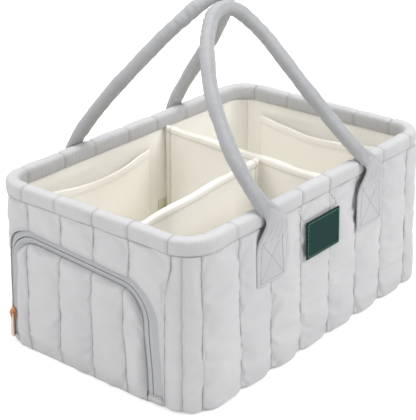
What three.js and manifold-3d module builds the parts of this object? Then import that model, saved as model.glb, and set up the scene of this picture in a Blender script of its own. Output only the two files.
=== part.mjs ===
// Quilted diaper caddy: a soft, boarded tub with two standing handles, a zip pocket at one end
// and two dividers that lift out. Millimetres, +Z up, origin under the middle of the base.
// The long front faces -Y and carries the label. The zip pocket faces -X.

import * as THREE from 'three';
import { mergeVertices } from 'three/addons/utils/BufferGeometryUtils.js';
import Module from 'manifold-3d';

const wasm = await Module();
wasm.setup();

// Driving dimensions

const tubLength = 380; // outside, at the seam under the rim
const tubWidth = 245;
const wallHeight = 157; // from the floor to the seam under the rim
const cornerRadius = 30;
const flare = 5; // how far the padding of each wall swells out at its foot
const clearance = 0.3; // between pieces that touch
const seamGap = 0.45; // between two panels sewn edge to edge
const overrun = 20; // how far a cutter runs past what it cuts

// Layers of a wall, from the outside in

const wadding = 4; // quilted panel, measured at a stitch line
const puffDepth = 3.5; // how far a channel swells past its stitch lines
const hemRadius = 9; // the panel rolls under at its foot with this radius
const boardThickness = 2;
const liningThickness = 1;
const basePadding = 4.5;
const baseBoardThickness = 2.5;
const boardCorner = 10;

// Quilting

const longPitch = 47;
const longFirstSeam = -127; // from the middle of a long wall
const endPitch = 42.5;
const endFirstSeam = -79;
const endSeamCount = 4;
const longCornerSeam = 14.7; // past the straight stretch, along the corner
const endCornerSeam = 5.2;
const joinAngle = THREE.MathUtils.degToRad(30); // where end and long panels meet, from the end's face
const pocketJoinAngle = THREE.MathUtils.degToRad(55); // the same at the corner that the pocket reaches round
const narrowPuff = 20; // a puff narrower than this needs fewer steps
const puffRoundShare = 0.7; // 1 would be a half sine from seam to seam, less is fuller
const puffSteps = 4;
const cornerPuffSteps = 7;
const narrowSteps = 3;

// Rim

const rimRadius = 7;
const rimShell = 1.2;
const rimCoreRadius = 5.2;
const rimSlot = 6; // width of the slot that the wall's raw edges enter
const rimSteps = 12;
const rimCoreSides = 10;

// Handles

const handleRadius = 7;
const strapWidth = 24; // flattened end, where the tube is sewn down
const strapThickness = 5;
const strapRun = 34; // from the flattened end to the full round tube
const strapSquareShare = 0.6; // 1 would be an ellipse in section, less is squarer
const footSineShares = [0.55, 0.9]; // rows round the foot's end
const crowdShare = 0.1; // how far the rows crowd together towards the feet
const tubeSteps = 30;
const tubeSides = 10;
const handleStandoff = 8; // hinge line, outside the wall
const hingeHeight = 160;
const handleLift = 24; // the tube leaves upward before it leans in
const leanShare = 0.6; // of the way to the crown, the direction that the tube takes in
const swayShare = 0.2; // of the rise, over which the sideways sag sets in
const crownRise = 161; // of the front handle's crown, above the hinge line
const crownStep = 10; // the back handle's crown rests this much higher, behind the front one
const frontHandle = { halfSpan: 82, shortOfMiddle: 8, rise: crownRise, sag: -22, drift: -7.5 };
const backHandle = { halfSpan: 78, shortOfMiddle: 4.5, rise: crownRise + crownStep, sag: 2.5, drift: -1.5 };
const tabWidth = 44;
const tabTopWidth = 27;
const tabFoot = 100; // height of the tab's lower edge
const tabWaist = 136; // where the tab starts to narrow
const tabThickness = 2.5;
const tabCorner = 2;

// Label

const labelWidth = 55;
const labelHeight = 38.5;
const labelThickness = 0.8;
const labelCorner = 1.5;
const labelCentre = 119;
const labelAlong = -1.5;

// Zip pocket, on the end wall that faces -X

const pocketShift = -12.5; // middle of the pocket, along its wall
const pocketExcess = 7; // how much wider the opening is on each side than half the straight stretch
const pocketBand = 28.5; // height of the quilted band above the opening
const openingCorner = 38;
const openingFoot = 6.7;
const outerTapeSide = 8; // width of the outer tape that shows beside the legs, and over the top
const outerTapeTop = 5.5;
const innerTapeSide = 6.5;
const innerTapeTop = 4.7;
const tapeTurn = 5; // how much tighter each tape's inner edge turns its corner than its outer edge
const zipFoot = 11;
const flapFoot = 7;
const flapFace = 0.6; // the flap's outer face at its edge, past the wall's stitch lines
const flapBack = -2.2; // its inner face there
const flapCrown = 5.5; // how far the filled flap swells
const flapHollow = 4.7; // how far its inner face follows
const flapQuilt = 2.6;
const flapEdgeRun = 15; // distance over which the flap swells to its full height
const flapHem = 3; // flat strip along the foot, where the flap turns
const flapEdgeShares = [0.03, 0.1, 0.25]; // extra columns near the flap's sides
const flapRowShares = [0, 0.027, 0.1, 0.24, 0.5, 0.78, 0.93, 1];
const tapeFace = -1;
const tapeThickness = 1;
const coilWidth = 2;
const coilTop = 0.8;
const coilGap = 0.4; // between the two meshed halves
const pocketBackThickness = 0.8;
const archSteps = 8; // in each corner of the arch
const cutterSteps = 24; // more, because the cutter is thick and twists round the wall's corner

// Zip slider and pull

const sliderHeight = 33; // middle of the slider above the floor, zip closed
const sliderWide = 9.4;
const sliderNarrow = 7.8;
const sliderLong = 11;
const sliderPlate = 1.3;
const sliderCorner = 1.5;
const flangeWidth = 1;
const flangeDepth = 1.6;
const bridgeHalf = 3.6; // half the length of the bridge that holds the pull
const bridgeWidth = 3;
const bridgeInner = 2.4; // clear height under the bridge
const bridgeThickness = 1;
const bridgeSteps = 6;
const pullWidth = 6.6;
const pullLong = 26;
const pullThickness = 1.3;
const pullBar = 0.75; // radius of the bar in the bridge
const pullSlotLong = 5.4;
const pullSlotWide = 3.8;
const pullEndRadius = 2.2;
const barSides = 8;

// Dividers

const dividerTop = 160;
const dividerThickness = 6;
const dividerBoard = 2.5;
const dividerSleeve = 1.4; // cloth on each side of the board
const dividerRound = 1.6; // rounding along the top edge
const crossBack = 47; // where the cross divider meets the back wall, and the front wall
const crossFront = 33;
const longAtEnd = -38; // where the lengthwise divider meets the end wall, and the cross divider
const longAtCross = -22;
const hookWidth = 22;
const hookThickness = 1.1;
const hookFoot = 14;
const hookHeight = 50;
const loopWidth = 26;
const loopThickness = 1.5;
const loopHeight = 60;

// Inner pockets

const innerPocketSheet = 1.2;
const innerPocketBulge = 13;
const innerPocketFoot = 25;
const innerPocketTop = 140;
const backPocketFrom = -20; // along the back wall, from its middle
const backPocketTo = 150;
const endPocketHalf = 86;
const pocketRowShares = [0, 0.35, 0.7, 1];
const pocketColumns = 8;

// Worked out from the sizes above

const boardFace = -(wadding + clearance);
const liningFace = boardFace - boardThickness - clearance;
const roomFace = liningFace - liningThickness; // the inner face of the lining
const wallTop = wallHeight - clearance;
const rimCentre = roomFace / 2;
const rimInner = rimCentre - rimRadius;
const rimHeight = wallTop + clearance + Math.sqrt(rimRadius ** 2 - (rimSlot / 2) ** 2);
const boardFoot = basePadding + clearance;
const floorFoot = boardFoot + baseBoardThickness + clearance;
const floorTop = floorFoot + liningThickness;
const dividerFoot = floorTop + clearance;
const dividerEnd = rimInner - clearance; // lets a divider pass the rim as it lifts
const hookFace = dividerEnd + clearance + hookThickness;
const loopFace = roomFace - clearance;
const tiltAngle = Math.atan2(flare, wallHeight);

const longStraight = tubLength / 2 - cornerRadius; // half of each wall's straight stretch
const endStraight = tubWidth / 2 - cornerRadius;

const openingHalf = endStraight + pocketExcess;
const openingTop = wallHeight - pocketBand;
const zipHalf = openingHalf - outerTapeSide; // middle of the coil, from the pocket's middle
const zipTop = openingTop - outerTapeTop;
const zipCorner = openingCorner - tapeTurn;
const flapHalf = zipHalf - innerTapeSide;
const flapTop = zipTop - innerTapeTop;
const flapCorner = zipCorner - tapeTurn;

// Each panel wraps part of the corner before it and part of the corner after it.
const quarter = Math.PI / 2; // a quarter turn
const longTurn = quarter - joinAngle;
const endWall = { straight: endStraight, reach: tubLength / 2 };
const longWall = { straight: longStraight, reach: tubWidth / 2 };
const walls = {
  front: { ...longWall, facing: 0, before: longTurn, after: longTurn },
  plainEnd: { ...endWall, facing: quarter, before: joinAngle, after: joinAngle },
  back: { ...longWall, facing: 2 * quarter, before: longTurn, after: quarter - pocketJoinAngle },
  pocketEnd: { ...endWall, facing: -quarter, before: pocketJoinAngle, after: joinAngle },
};

// Materials

function finish(color, roughness, metalness = 0) {
  return new THREE.MeshStandardMaterial({ color, roughness, metalness });
}

const greyCloth = '#cdcdce';
const handleCloth = '#b9babb';
const creamCloth = '#f0e8cf';
const boardWhite = '#e6e4dc';
const foamWhite = '#eeeeea';
const zipGrey = '#b4b5b7';
const coilGrey = '#8f9093';
const labelGreen = '#14443e';
const sliderCopper = '#c8966e';
const pullGold = '#e9c4a6';
const hookCream = '#e4dcc2';

// Solids from rows of points

const inOrder = (count) => Array.from({ length: count }, (_, index) => index);

// Turns triangles outward, if need be, and makes the geometry.
function closedGeometry(points, triangles) {
  const volume = triangles.reduce((sum, [a, b, c]) => {
    return sum + points[a].dot(new THREE.Vector3().crossVectors(points[b], points[c]));
  }, 0);
  const outward = volume > 0 ? triangles : triangles.map(([a, b, c]) => [a, c, b]);
  const geometry = new THREE.BufferGeometry().setFromPoints(points);
  geometry.setIndex(outward.flat());
  geometry.computeVertexNormals();
  return geometry;
}

// A thick sheet between two grids of points, outer[i][j] and inner[i][j]. A ring closes on itself along i.
function sheet(outer, inner, ring = false) {
  const columns = outer.length;
  const rows = outer[0].length;
  const points = [...outer.flat(), ...inner.flat()];
  const onOuter = (i, j) => (i % columns) * rows + j;
  const onInner = (i, j) => columns * rows + onOuter(i, j);
  const triangles = [];
  const quad = (a, b, c, d) => triangles.push([a, b, c], [a, c, d]);
  const spans = ring ? columns : columns - 1;
  for (let i = 0; i < spans; i++) {
    for (let j = 0; j < rows - 1; j++) {
      quad(onOuter(i, j), onOuter(i + 1, j), onOuter(i + 1, j + 1), onOuter(i, j + 1));
      quad(onInner(i, j), onInner(i, j + 1), onInner(i + 1, j + 1), onInner(i + 1, j));
    }
    quad(onInner(i, 0), onInner(i + 1, 0), onOuter(i + 1, 0), onOuter(i, 0));
    quad(onOuter(i, rows - 1), onOuter(i + 1, rows - 1), onInner(i + 1, rows - 1), onInner(i, rows - 1));
  }
  if (!ring) {
    const last = columns - 1;
    for (let j = 0; j < rows - 1; j++) {
      quad(onOuter(0, j), onOuter(0, j + 1), onInner(0, j + 1), onInner(0, j));
      quad(onOuter(last, j), onInner(last, j), onInner(last, j + 1), onOuter(last, j + 1));
    }
  }
  return closedGeometry(points, triangles);
}

// A rod through closed sections of equal counts, with a point in the middle of each end.
function rod(sections, ring = false) {
  const count = sections.length;
  const sides = sections[0].length;
  const points = sections.flat();
  const at = (i, j) => (i % count) * sides + (j % sides);
  const triangles = [];
  for (let i = 0; i < (ring ? count : count - 1); i++) {
    for (let j = 0; j < sides; j++) {
      triangles.push([at(i, j), at(i + 1, j), at(i + 1, j + 1)], [at(i, j), at(i + 1, j + 1), at(i, j + 1)]);
    }
  }
  if (!ring) {
    for (const end of [0, count - 1]) {
      const middle = new THREE.Vector3();
      sections[end].forEach((point) => middle.addScaledVector(point, 1 / sides));
      points.push(middle);
      for (let j = 0; j < sides; j++) {
        const hub = points.length - 1;
        triangles.push(end === 0 ? [hub, at(end, j), at(end, j + 1)] : [hub, at(end, j + 1), at(end, j)]);
      }
    }
  }
  return closedGeometry(points, triangles);
}

function toSolid(geometry) {
  const bare = geometry.clone();
  bare.deleteAttribute('normal');
  bare.deleteAttribute('uv');
  const merged = mergeVertices(bare);
  const vertProperties = Float32Array.from(merged.attributes.position.array);
  const triVerts = Uint32Array.from(merged.index.array);
  return new wasm.Manifold(new wasm.Mesh({ numProp: 3, vertProperties, triVerts }));
}

function toGeometry(solid) {
  const { vertProperties, triVerts } = solid.getMesh();
  const geometry = new THREE.BufferGeometry();
  geometry.setAttribute('position', new THREE.BufferAttribute(vertProperties, 3));
  geometry.setIndex(new THREE.BufferAttribute(triVerts, 1));
  geometry.computeVertexNormals();
  return geometry;
}

const joined = (...pieces) => toGeometry(pieces.map(toSolid).reduce((whole, piece) => whole.add(piece)));
const cut = (body, tool) => toGeometry(toSolid(body).subtract(toSolid(tool)));

// Places on a wall

const swell = (height) => flare * (1 - height / wallHeight);

// A point of a wall that faces -Y: along it and around its corners, outside the seam line by offset.
function onWall(wall, along, offset, height) {
  const beyond = Math.max(Math.abs(along) - wall.straight, 0);
  const turn = (Math.sign(along) * beyond) / cornerRadius;
  const radius = cornerRadius + offset;
  const x = Math.sign(along) * Math.min(Math.abs(along), wall.straight) + radius * Math.sin(turn);
  return new THREE.Vector3(x, cornerRadius - wall.reach - radius * Math.cos(turn), height);
}

const onPaddedWall = (wall, along, offset, height) => onWall(wall, along, offset + swell(height), height);
const upAxis = new THREE.Vector3(0, 0, 1);
const turned = (wall, point) => point.applyAxisAngle(upAxis, wall.facing);
const panelStart = (wall) => seamGap / 2 - wall.straight - wall.before * cornerRadius;
const panelEnd = (wall) => wall.straight + wall.after * cornerRadius - seamGap / 2;

// All the way round the tub: the places along each wall and its next corner.
const cornerSteps = 6;
function roundTheTub(place) {
  return [walls.front, walls.plainEnd, walls.back, walls.pocketEnd].flatMap((wall) => {
    const bend = quarter * cornerRadius;
    const corner = inOrder(cornerSteps).map((step) => wall.straight + (step / cornerSteps) * bend);
    return [-wall.straight, ...corner].map((along) => place(wall, along));
  });
}

function roundedRectangle(halfX, halfY, radius) {
  const shape = new THREE.Shape();
  shape.moveTo(-halfX + radius, -halfY);
  shape.lineTo(halfX - radius, -halfY);
  shape.absarc(halfX - radius, -halfY + radius, radius, -quarter, 0);
  shape.lineTo(halfX, halfY - radius);
  shape.absarc(halfX - radius, halfY - radius, radius, 0, quarter);
  shape.lineTo(-halfX + radius, halfY);
  shape.absarc(-halfX + radius, halfY - radius, radius, quarter, Math.PI);
  shape.lineTo(-halfX, -halfY + radius);
  shape.absarc(-halfX + radius, -halfY + radius, radius, Math.PI, Math.PI * 1.5);
  return shape;
}

function plate(shape, depth, curveSegments = 5) {
  return new THREE.ExtrudeGeometry(shape, { depth, bevelEnabled: false, curveSegments });
}

const caddy = new THREE.Group();

function addMesh(parent, name, geometry, material) {
  const mesh = new THREE.Mesh(geometry, material);
  mesh.name = name;
  parent.add(mesh);
  return mesh;
}

const wallGroups = {};
for (const [name, wall] of Object.entries(walls)) {
  const group = new THREE.Group();
  group.rotation.z = wall.facing;
  caddy.add(group);
  wallGroups[name] = group;
}

// A flat plate against a wall's padded face or round its corner, its own XY plane turned up to face outward.
function layOnWall(mesh, wall, along, offset, height, tilt = tiltAngle) {
  const beyond = Math.max(Math.abs(along) - wall.straight, 0);
  mesh.position.copy(onWall(wall, along, offset + (tilt ? swell(height) : 0), height));
  mesh.rotation.set(quarter - tilt, 0, (Math.sign(along) * beyond) / cornerRadius, 'ZXY');
}

// Quilted panels

function seamsOf(wall) {
  const isLong = wall.reach < wall.straight;
  const seams = [panelStart(wall)];
  if (isLong) {
    seams.push(-wall.straight - longCornerSeam);
    for (let seam = longFirstSeam; seam < wall.straight; seam += longPitch) seams.push(seam);
  } else {
    for (const index of inOrder(endSeamCount)) seams.push(endFirstSeam + index * endPitch);
    seams.push(wall.straight + endCornerSeam);
  }
  seams.push(panelEnd(wall));
  return seams;
}

// Where the columns of a quilted panel stand, and how full the channel is there, from 0 at a seam to 1.
function quiltColumns(seams, straight) {
  const columns = [{ along: seams[0], fill: 0 }];
  for (let index = 1; index < seams.length; index++) {
    const span = seams[index] - seams[index - 1];
    const wideSteps = seams[index - 1] < -straight || seams[index] > straight ? cornerPuffSteps : puffSteps;
    const steps = span < narrowPuff ? narrowSteps : wideSteps;
    const fullness = Math.min(span / narrowPuff, 1);
    for (let step = 1; step <= steps; step++) {
      const share = step / steps;
      const fill = step === steps ? 0 : fullness * Math.sin(Math.PI * share) ** puffRoundShare;
      columns.push({ along: seams[index - 1] + span * share, fill });
    }
  }
  return columns;
}

const hemTurnShares = [0, 1 / 3, 2 / 3, 1]; // of the quarter turn from the underside to the wall
const wallRowShares = [0.26, 0.7, 0.95, 1]; // heights of the rows above the hem
const wallFillShares = [1, 1, 0.75, 0.1]; // how full the channels are there
const hemFillShares = [0, 0.3, 0.6, 0.85];

function quiltedPanel(wall) {
  const hem = hemTurnShares.map((share, index) => ({
    offset: flare - hemRadius + hemRadius * Math.sin(share * quarter),
    height: hemRadius * (1 - Math.cos(share * quarter)),
    inner: basePadding + (hemRadius - basePadding) * share,
    fill: hemFillShares[index],
  }));
  const upper = wallRowShares.map((share, index) => {
    const height = hemRadius + (wallTop - hemRadius) * share;
    return { offset: swell(height), height, inner: height, fill: wallFillShares[index] };
  });
  const rows = [...hem, ...upper];
  const columns = quiltColumns(seamsOf(wall), wall.straight);
  const outer = columns.map(({ along, fill }) =>
    rows.map((row) => onWall(wall, along, row.offset + puffDepth * fill * row.fill, row.height)));
  const inner = columns.map(({ along }) => rows.map((row) => onWall(wall, along, -wadding, row.inner)));
  return sheet(outer, inner);
}

// The arch that the zip follows, as points along its wall and up, from one foot over the top to the other.
function archPoints(half, top, corner, foot, steps = archSteps) {
  const turns = inOrder(steps + 1).map((step) => (step / steps) * quarter);
  const right = turns.map((angle) => new THREE.Vector2(
    half - corner + corner * Math.cos(angle),
    top - corner + corner * Math.sin(angle),
  ));
  const rightLeg = [new THREE.Vector2(half, foot), ...right];
  const left = rightLeg.map((point) => new THREE.Vector2(-point.x, point.y)).reverse();
  return [...rightLeg, ...left].map((point) => point.add(new THREE.Vector2(pocketShift, 0)));
}

// The arch's inside as a sheet that follows the wall, between two offsets from its seam line.
function archFill(points, outerOffset, innerOffset) {
  const foot = points[0].y;
  const columns = points.slice(1, -1);
  const face = (offset) => columns.map((edge) => {
    return [foot, edge.y].map((height) => onWall(walls.pocketEnd, edge.x, offset, height));
  });
  return sheet(face(outerOffset), face(innerOffset));
}

function pocketOpening() {
  const outline = archPoints(openingHalf, openingTop, openingCorner, openingFoot, cutterSteps);
  return archFill(outline, flare + puffDepth + clearance, boardFace);
}

const outerCloth = () => finish(greyCloth, 0.75);
addMesh(wallGroups.front, 'front_quilted_panel', quiltedPanel(walls.front), outerCloth());
addMesh(wallGroups.back, 'back_quilted_panel', quiltedPanel(walls.back), outerCloth());
addMesh(wallGroups.plainEnd, 'plain_end_quilted_panel', quiltedPanel(walls.plainEnd), outerCloth());
const pocketPanel = cut(quiltedPanel(walls.pocketEnd), pocketOpening());
addMesh(wallGroups.pocketEnd, 'pocket_end_quilted_panel', pocketPanel, outerCloth());

// Base: padded cloth under a board, with the lining's floor on top

function baseLayer(name, offset, foot, thickness, material) {
  const outline = roundedRectangle(tubLength / 2 + offset, tubWidth / 2 + offset, cornerRadius + offset);
  const mesh = addMesh(caddy, name, plate(outline, thickness), material);
  mesh.position.z = foot;
}

baseLayer('base_quilted_panel', boardFace, 0, basePadding, outerCloth());
baseLayer('base_board', boardFace, boardFoot, baseBoardThickness, finish(boardWhite, 0.6));
baseLayer('lining_floor', roomFace - clearance, floorFoot, liningThickness, finish(creamCloth, 0.85));

// Stiffener boards stand on the base board, between the padding and the lining

function wallBoard(name, title) {
  const wall = walls[name];
  const half = wall.straight - clearance;
  const boardTop = wallTop - clearance;
  const outline = roundedRectangle(half, (boardTop - floorFoot) / 2, boardCorner);
  const mesh = addMesh(wallGroups[name], title, plate(outline, boardThickness), finish(boardWhite, 0.6));
  layOnWall(mesh, wall, 0, boardFace - boardThickness, (boardTop + floorFoot) / 2, 0);
}

wallBoard('front', 'front_wall_board');
wallBoard('back', 'back_wall_board');
wallBoard('plainEnd', 'plain_end_wall_board');
wallBoard('pocketEnd', 'pocket_end_wall_board');

// Lining walls, each with half of its two corners

function liningWall(name, title) {
  const wall = walls[name];
  const steps = inOrder(puffSteps + 1).map((step) => step / puffSteps);
  const bend = (from, to) => steps.map((share) => THREE.MathUtils.lerp(from, to, share));
  const columns = [...bend(panelStart(wall), -wall.straight), ...bend(wall.straight, panelEnd(wall))];
  const rows = [floorFoot, wallTop];
  const face = (offset) => columns.map((along) => rows.map((height) => onWall(wall, along, offset, height)));
  addMesh(wallGroups[name], title, sheet(face(liningFace), face(roomFace)), finish(creamCloth, 0.85));
}

liningWall('front', 'front_lining');
liningWall('back', 'back_lining');
liningWall('plainEnd', 'plain_end_lining');
liningWall('pocketEnd', 'pocket_end_lining');

// Rim: a padded binding, open below where it takes the wall's raw edges, round a foam core

function rimBinding() {
  const opening = Math.asin(rimSlot / 2 / rimRadius);
  const angles = inOrder(rimSteps + 1).map((step) => opening + (step / rimSteps) * 2 * (Math.PI - opening));
  const face = (radius) => roundTheTub((wall, along) => angles.map((angle) => {
    const offset = rimCentre + radius * Math.sin(angle);
    return turned(wall, onWall(wall, along, offset, rimHeight - radius * Math.cos(angle)));
  }));
  return sheet(face(rimRadius), face(rimRadius - rimShell), true);
}

function rimCore() {
  const angles = inOrder(rimCoreSides).map((side) => (side / rimCoreSides) * 2 * Math.PI);
  return rod(roundTheTub((wall, along) => angles.map((angle) => {
    const offset = rimCentre + rimCoreRadius * Math.sin(angle);
    return turned(wall, onWall(wall, along, offset, rimHeight - rimCoreRadius * Math.cos(angle)));
  })), true);
}

addMesh(caddy, 'rim_binding', rimBinding(), finish(greyCloth, 0.75));
addMesh(caddy, 'rim_foam_core', rimCore(), finish(foamWhite, 0.9));

// Handles: a flattened strap at each foot swells into a round padded tube that leans over the tub

const handleReach = tubWidth / 2 + handleStandoff;

function handlePoint({ halfSpan, shortOfMiddle, rise, sag, drift }, angle) {
  const height = Math.sin(angle);
  const reachIn = handleReach - shortOfMiddle;
  const side = new THREE.CubicBezierCurve(
    new THREE.Vector2(0, 0),
    new THREE.Vector2(0, handleLift),
    new THREE.Vector2(reachIn * leanShare, rise * leanShare),
    new THREE.Vector2(reachIn, rise),
  );
  const place = side.getPoint(height);
  const heading = side.getTangent(height);
  const sway = Math.sin(Math.PI * height) * THREE.MathUtils.smoothstep(height, 0, swayShare);
  const x = halfSpan * Math.cos(angle) + drift * height + sag * sway;
  const centre = new THREE.Vector3(x, place.x, place.y);
  return { centre, normal: new THREE.Vector3(0, heading.y, -heading.x) };
}

function handleTube(arch) {
  const places = inOrder(tubeSteps + 1).map((step) => {
    const share = step / tubeSteps;
    return handlePoint(arch, Math.PI * share - crowdShare * Math.sin(2 * Math.PI * share));
  });
  const travelled = [0];
  for (let index = 1; index < places.length; index++) {
    travelled.push(travelled[index - 1] + places[index].centre.distanceTo(places[index - 1].centre));
  }
  const whole = travelled[travelled.length - 1];
  const section = (centre, normal, across, thick, wide, squareness) => inOrder(tubeSides).map((side) => {
    const angle = ((side + 0.5) / tubeSides) * 2 * Math.PI;
    const bulge = (value) => Math.sign(value) * Math.abs(value) ** squareness;
    return centre.clone()
      .addScaledVector(across, bulge(Math.cos(angle)) * wide)
      .addScaledVector(normal, bulge(Math.sin(angle)) * thick);
  });
  const sections = places.map(({ centre, normal }, index) => {
    const before = places[Math.max(index - 1, 0)].centre;
    const after = places[Math.min(index + 1, places.length - 1)].centre;
    const heading = new THREE.Vector3().subVectors(after, before).normalize();
    const fromFoot = Math.min(travelled[index], whole - travelled[index]);
    const share = THREE.MathUtils.smoothstep(fromFoot, strapThickness, strapRun);
    const level = new THREE.Vector3(index < tubeSteps / 2 ? -1 : 1, 0, 0);
    const across = new THREE.Vector3().crossVectors(heading, normal).normalize();
    across.lerpVectors(level, across, share).normalize();
    const thick = THREE.MathUtils.lerp(strapThickness / 2, handleRadius, share);
    const wide = THREE.MathUtils.lerp(strapWidth / 2, handleRadius, share);
    return section(centre, normal, across, thick, wide, THREE.MathUtils.lerp(strapSquareShare, 1, share));
  });
  // The foot is rounded about the hinge line, so that it turns in its place.
  const roundedFoot = (place, direction) => footSineShares.map((sine) => {
    const drop = (strapThickness / 2) * sine;
    const thick = (strapThickness / 2) * Math.sqrt(1 - sine ** 2);
    const centre = place.centre.clone().addScaledVector(upAxis, -drop);
    const across = new THREE.Vector3(direction, 0, 0);
    return section(centre, new THREE.Vector3(0, 1, 0), across, thick, strapWidth / 2, strapSquareShare);
  });
  const firstFoot = roundedFoot(places[0], -1).reverse();
  const lastFoot = roundedFoot(places[places.length - 1], 1);
  return rod([...firstFoot, ...sections, ...lastFoot]);
}

const frontHandleMesh = addMesh(caddy, 'front_handle', handleTube(frontHandle), finish(handleCloth, 0.75));
frontHandleMesh.position.set(0, -handleReach, hingeHeight);
const backHandleMesh = addMesh(caddy, 'back_handle', handleTube(backHandle), finish(handleCloth, 0.75));
backHandleMesh.position.set(0, handleReach, hingeHeight);
backHandleMesh.rotation.z = Math.PI;

// Tabs that sew the handles' feet to the walls

function handleTab() {
  const top = hingeHeight - strapThickness / 2 - clearance - tabFoot;
  const half = tabWidth / 2;
  const shape = new THREE.Shape();
  shape.moveTo(-half + tabCorner, 0);
  shape.lineTo(half - tabCorner, 0);
  shape.absarc(half - tabCorner, tabCorner, tabCorner, -quarter, 0);
  shape.lineTo(half, tabWaist - tabFoot);
  shape.lineTo(tabTopWidth / 2, top);
  shape.lineTo(-tabTopWidth / 2, top);
  shape.lineTo(-half, tabWaist - tabFoot);
  shape.absarc(-half + tabCorner, tabCorner, tabCorner, Math.PI, Math.PI * 1.5);
  return plate(shape, tabThickness, 2);
}

const crownFace = puffDepth + clearance; // plates sewn over the puffs lie here
for (const [name, arch] of [['front', frontHandle], ['back', backHandle]]) {
  for (const [side, direction] of [['left', -1], ['right', 1]]) {
    const tab = addMesh(wallGroups[name], `${name}_${side}_handle_tab`, handleTab(), finish(greyCloth, 0.75));
    layOnWall(tab, walls[name], direction * arch.halfSpan, crownFace, tabFoot);
  }
}

// Bare label

const labelShape = roundedRectangle(labelWidth / 2, labelHeight / 2, labelCorner);
const labelPlate = plate(labelShape, labelThickness, 2);
const label = addMesh(wallGroups.front, 'front_label', labelPlate, finish(labelGreen, 0.6));
layOnWall(label, walls.front, labelAlong, crownFace, labelCentre);

// Zip: two tapes and the two halves of the coil, between the cut edge of the wall and the flap

const onPocketWall = (point, offset) => onPaddedWall(walls.pocketEnd, point.x, offset, point.y);

function archBand(outside, inside, top, bottom) {
  const face = (offset) => outside.map((point, index) => {
    return [point, inside[index]].map((end) => onPocketWall(end, offset));
  });
  return sheet(face(top), face(bottom));
}

const zipArch = (shift) => archPoints(zipHalf + shift, zipTop + shift, zipCorner + shift, zipFoot);

function archInOpening(foot) {
  return archPoints(openingHalf - clearance, openingTop - clearance, openingCorner - clearance, foot);
}

const flapArch = archPoints(flapHalf + clearance, flapTop + clearance, flapCorner + clearance, zipFoot);
const tapeCloth = () => finish(zipGrey, 0.7);
const coilNylon = () => finish(coilGrey, 0.4);
const tapeBack = tapeFace - tapeThickness;
const coilFoot = tapeFace + clearance;
const outerTape = archBand(archInOpening(zipFoot), zipArch(coilGap / 2), tapeFace, tapeBack);
const innerTape = archBand(zipArch(-coilGap / 2), flapArch, tapeFace, tapeBack);
const outerCoil = archBand(zipArch(coilGap / 2 + coilWidth), zipArch(coilGap / 2), coilTop, coilFoot);
const innerCoil = archBand(zipArch(-coilGap / 2), zipArch(-coilGap / 2 - coilWidth), coilTop, coilFoot);
addMesh(wallGroups.pocketEnd, 'zip_outer_tape', outerTape, tapeCloth());
addMesh(wallGroups.pocketEnd, 'zip_inner_tape', innerTape, tapeCloth());
addMesh(wallGroups.pocketEnd, 'zip_outer_coil', outerCoil, coilNylon());
addMesh(wallGroups.pocketEnd, 'zip_inner_coil', innerCoil, coilNylon());

// Cloth at the back of the pocket, inside the opening

const pocketBack = archFill(archInOpening(floorFoot), pocketBackThickness - wadding, -wadding);
addMesh(wallGroups.pocketEnd, 'pocket_back_cloth', pocketBack, outerCloth());

// Pocket flap: a filled, quilted panel hinged along its foot

function flapPanel() {
  const corner = flapCorner;
  const shoulder = flapTop - corner;
  const fromArchEdge = (across, height) => {
    const pastCorner = Math.abs(across) - (flapHalf - corner);
    const aboveCorner = height - shoulder;
    const toEdge = pastCorner > 0 && aboveCorner > 0
      ? corner - Math.hypot(pastCorner, aboveCorner)
      : Math.min(flapHalf - Math.abs(across), flapTop - height);
    return Math.max(Math.min(toEdge, height - flapFoot - flapHem), 0);
  };
  const topAt = (across) => {
    const pastCorner = Math.max(Math.abs(across) - (flapHalf - corner), 0);
    return shoulder + Math.sqrt(Math.max(corner ** 2 - pastCorner ** 2, 0));
  };
  const seams = [-flapHalf, flapHalf];
  for (const index of inOrder(endSeamCount)) {
    const seam = endFirstSeam + index * endPitch - pocketShift;
    if (Math.abs(seam) < flapHalf - narrowPuff / 2) seams.push(seam);
  }
  seams.sort((a, b) => a - b);
  const columns = quiltColumns(seams, flapHalf);
  const edgeColumns = flapEdgeShares.flatMap((share) => {
    const inset = share * (flapHalf - corner / 2);
    return [{ along: -flapHalf + inset, fill: 0 }, { along: flapHalf - inset, fill: 0 }];
  });
  const apart = (one, other) => Math.abs(one.along - other.along) > clearance;
  const spaced = edgeColumns.filter((extra) => columns.every((column) => apart(column, extra)));
  const fillAt = (along) => {
    const index = seams.findIndex((seam) => seam >= along);
    if (index <= 0) return 0;
    const share = (along - seams[index - 1]) / (seams[index] - seams[index - 1]);
    return Math.max(Math.sin(Math.PI * share), 0) ** puffRoundShare;
  };
  const all = [...columns, ...spaced].sort((a, b) => a.along - b.along);
  const face = (start, crown, quilt) => all.map(({ along }) => flapRowShares.map((share) => {
    const height = flapFoot + (topAt(along) - flapFoot) * share;
    const rise = Math.sin(Math.min(fromArchEdge(along, height) / flapEdgeRun, 1) * quarter);
    const offset = start + rise * (crown + quilt * fillAt(along));
    return onPocketWall(new THREE.Vector2(along + pocketShift, height), offset);
  }));
  return sheet(face(flapFace, flapCrown, flapQuilt), face(flapBack, flapHollow, 0));
}

addMesh(wallGroups.pocketEnd, 'pocket_flap', flapPanel(), outerCloth());

// Zip slider: a shield-shaped plate with side flanges and a bridge, in its own frame with Z outward

const legAlong = pocketShift - zipHalf; // the leg on the slider's side
const sliderFace = coilTop + clearance;

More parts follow.
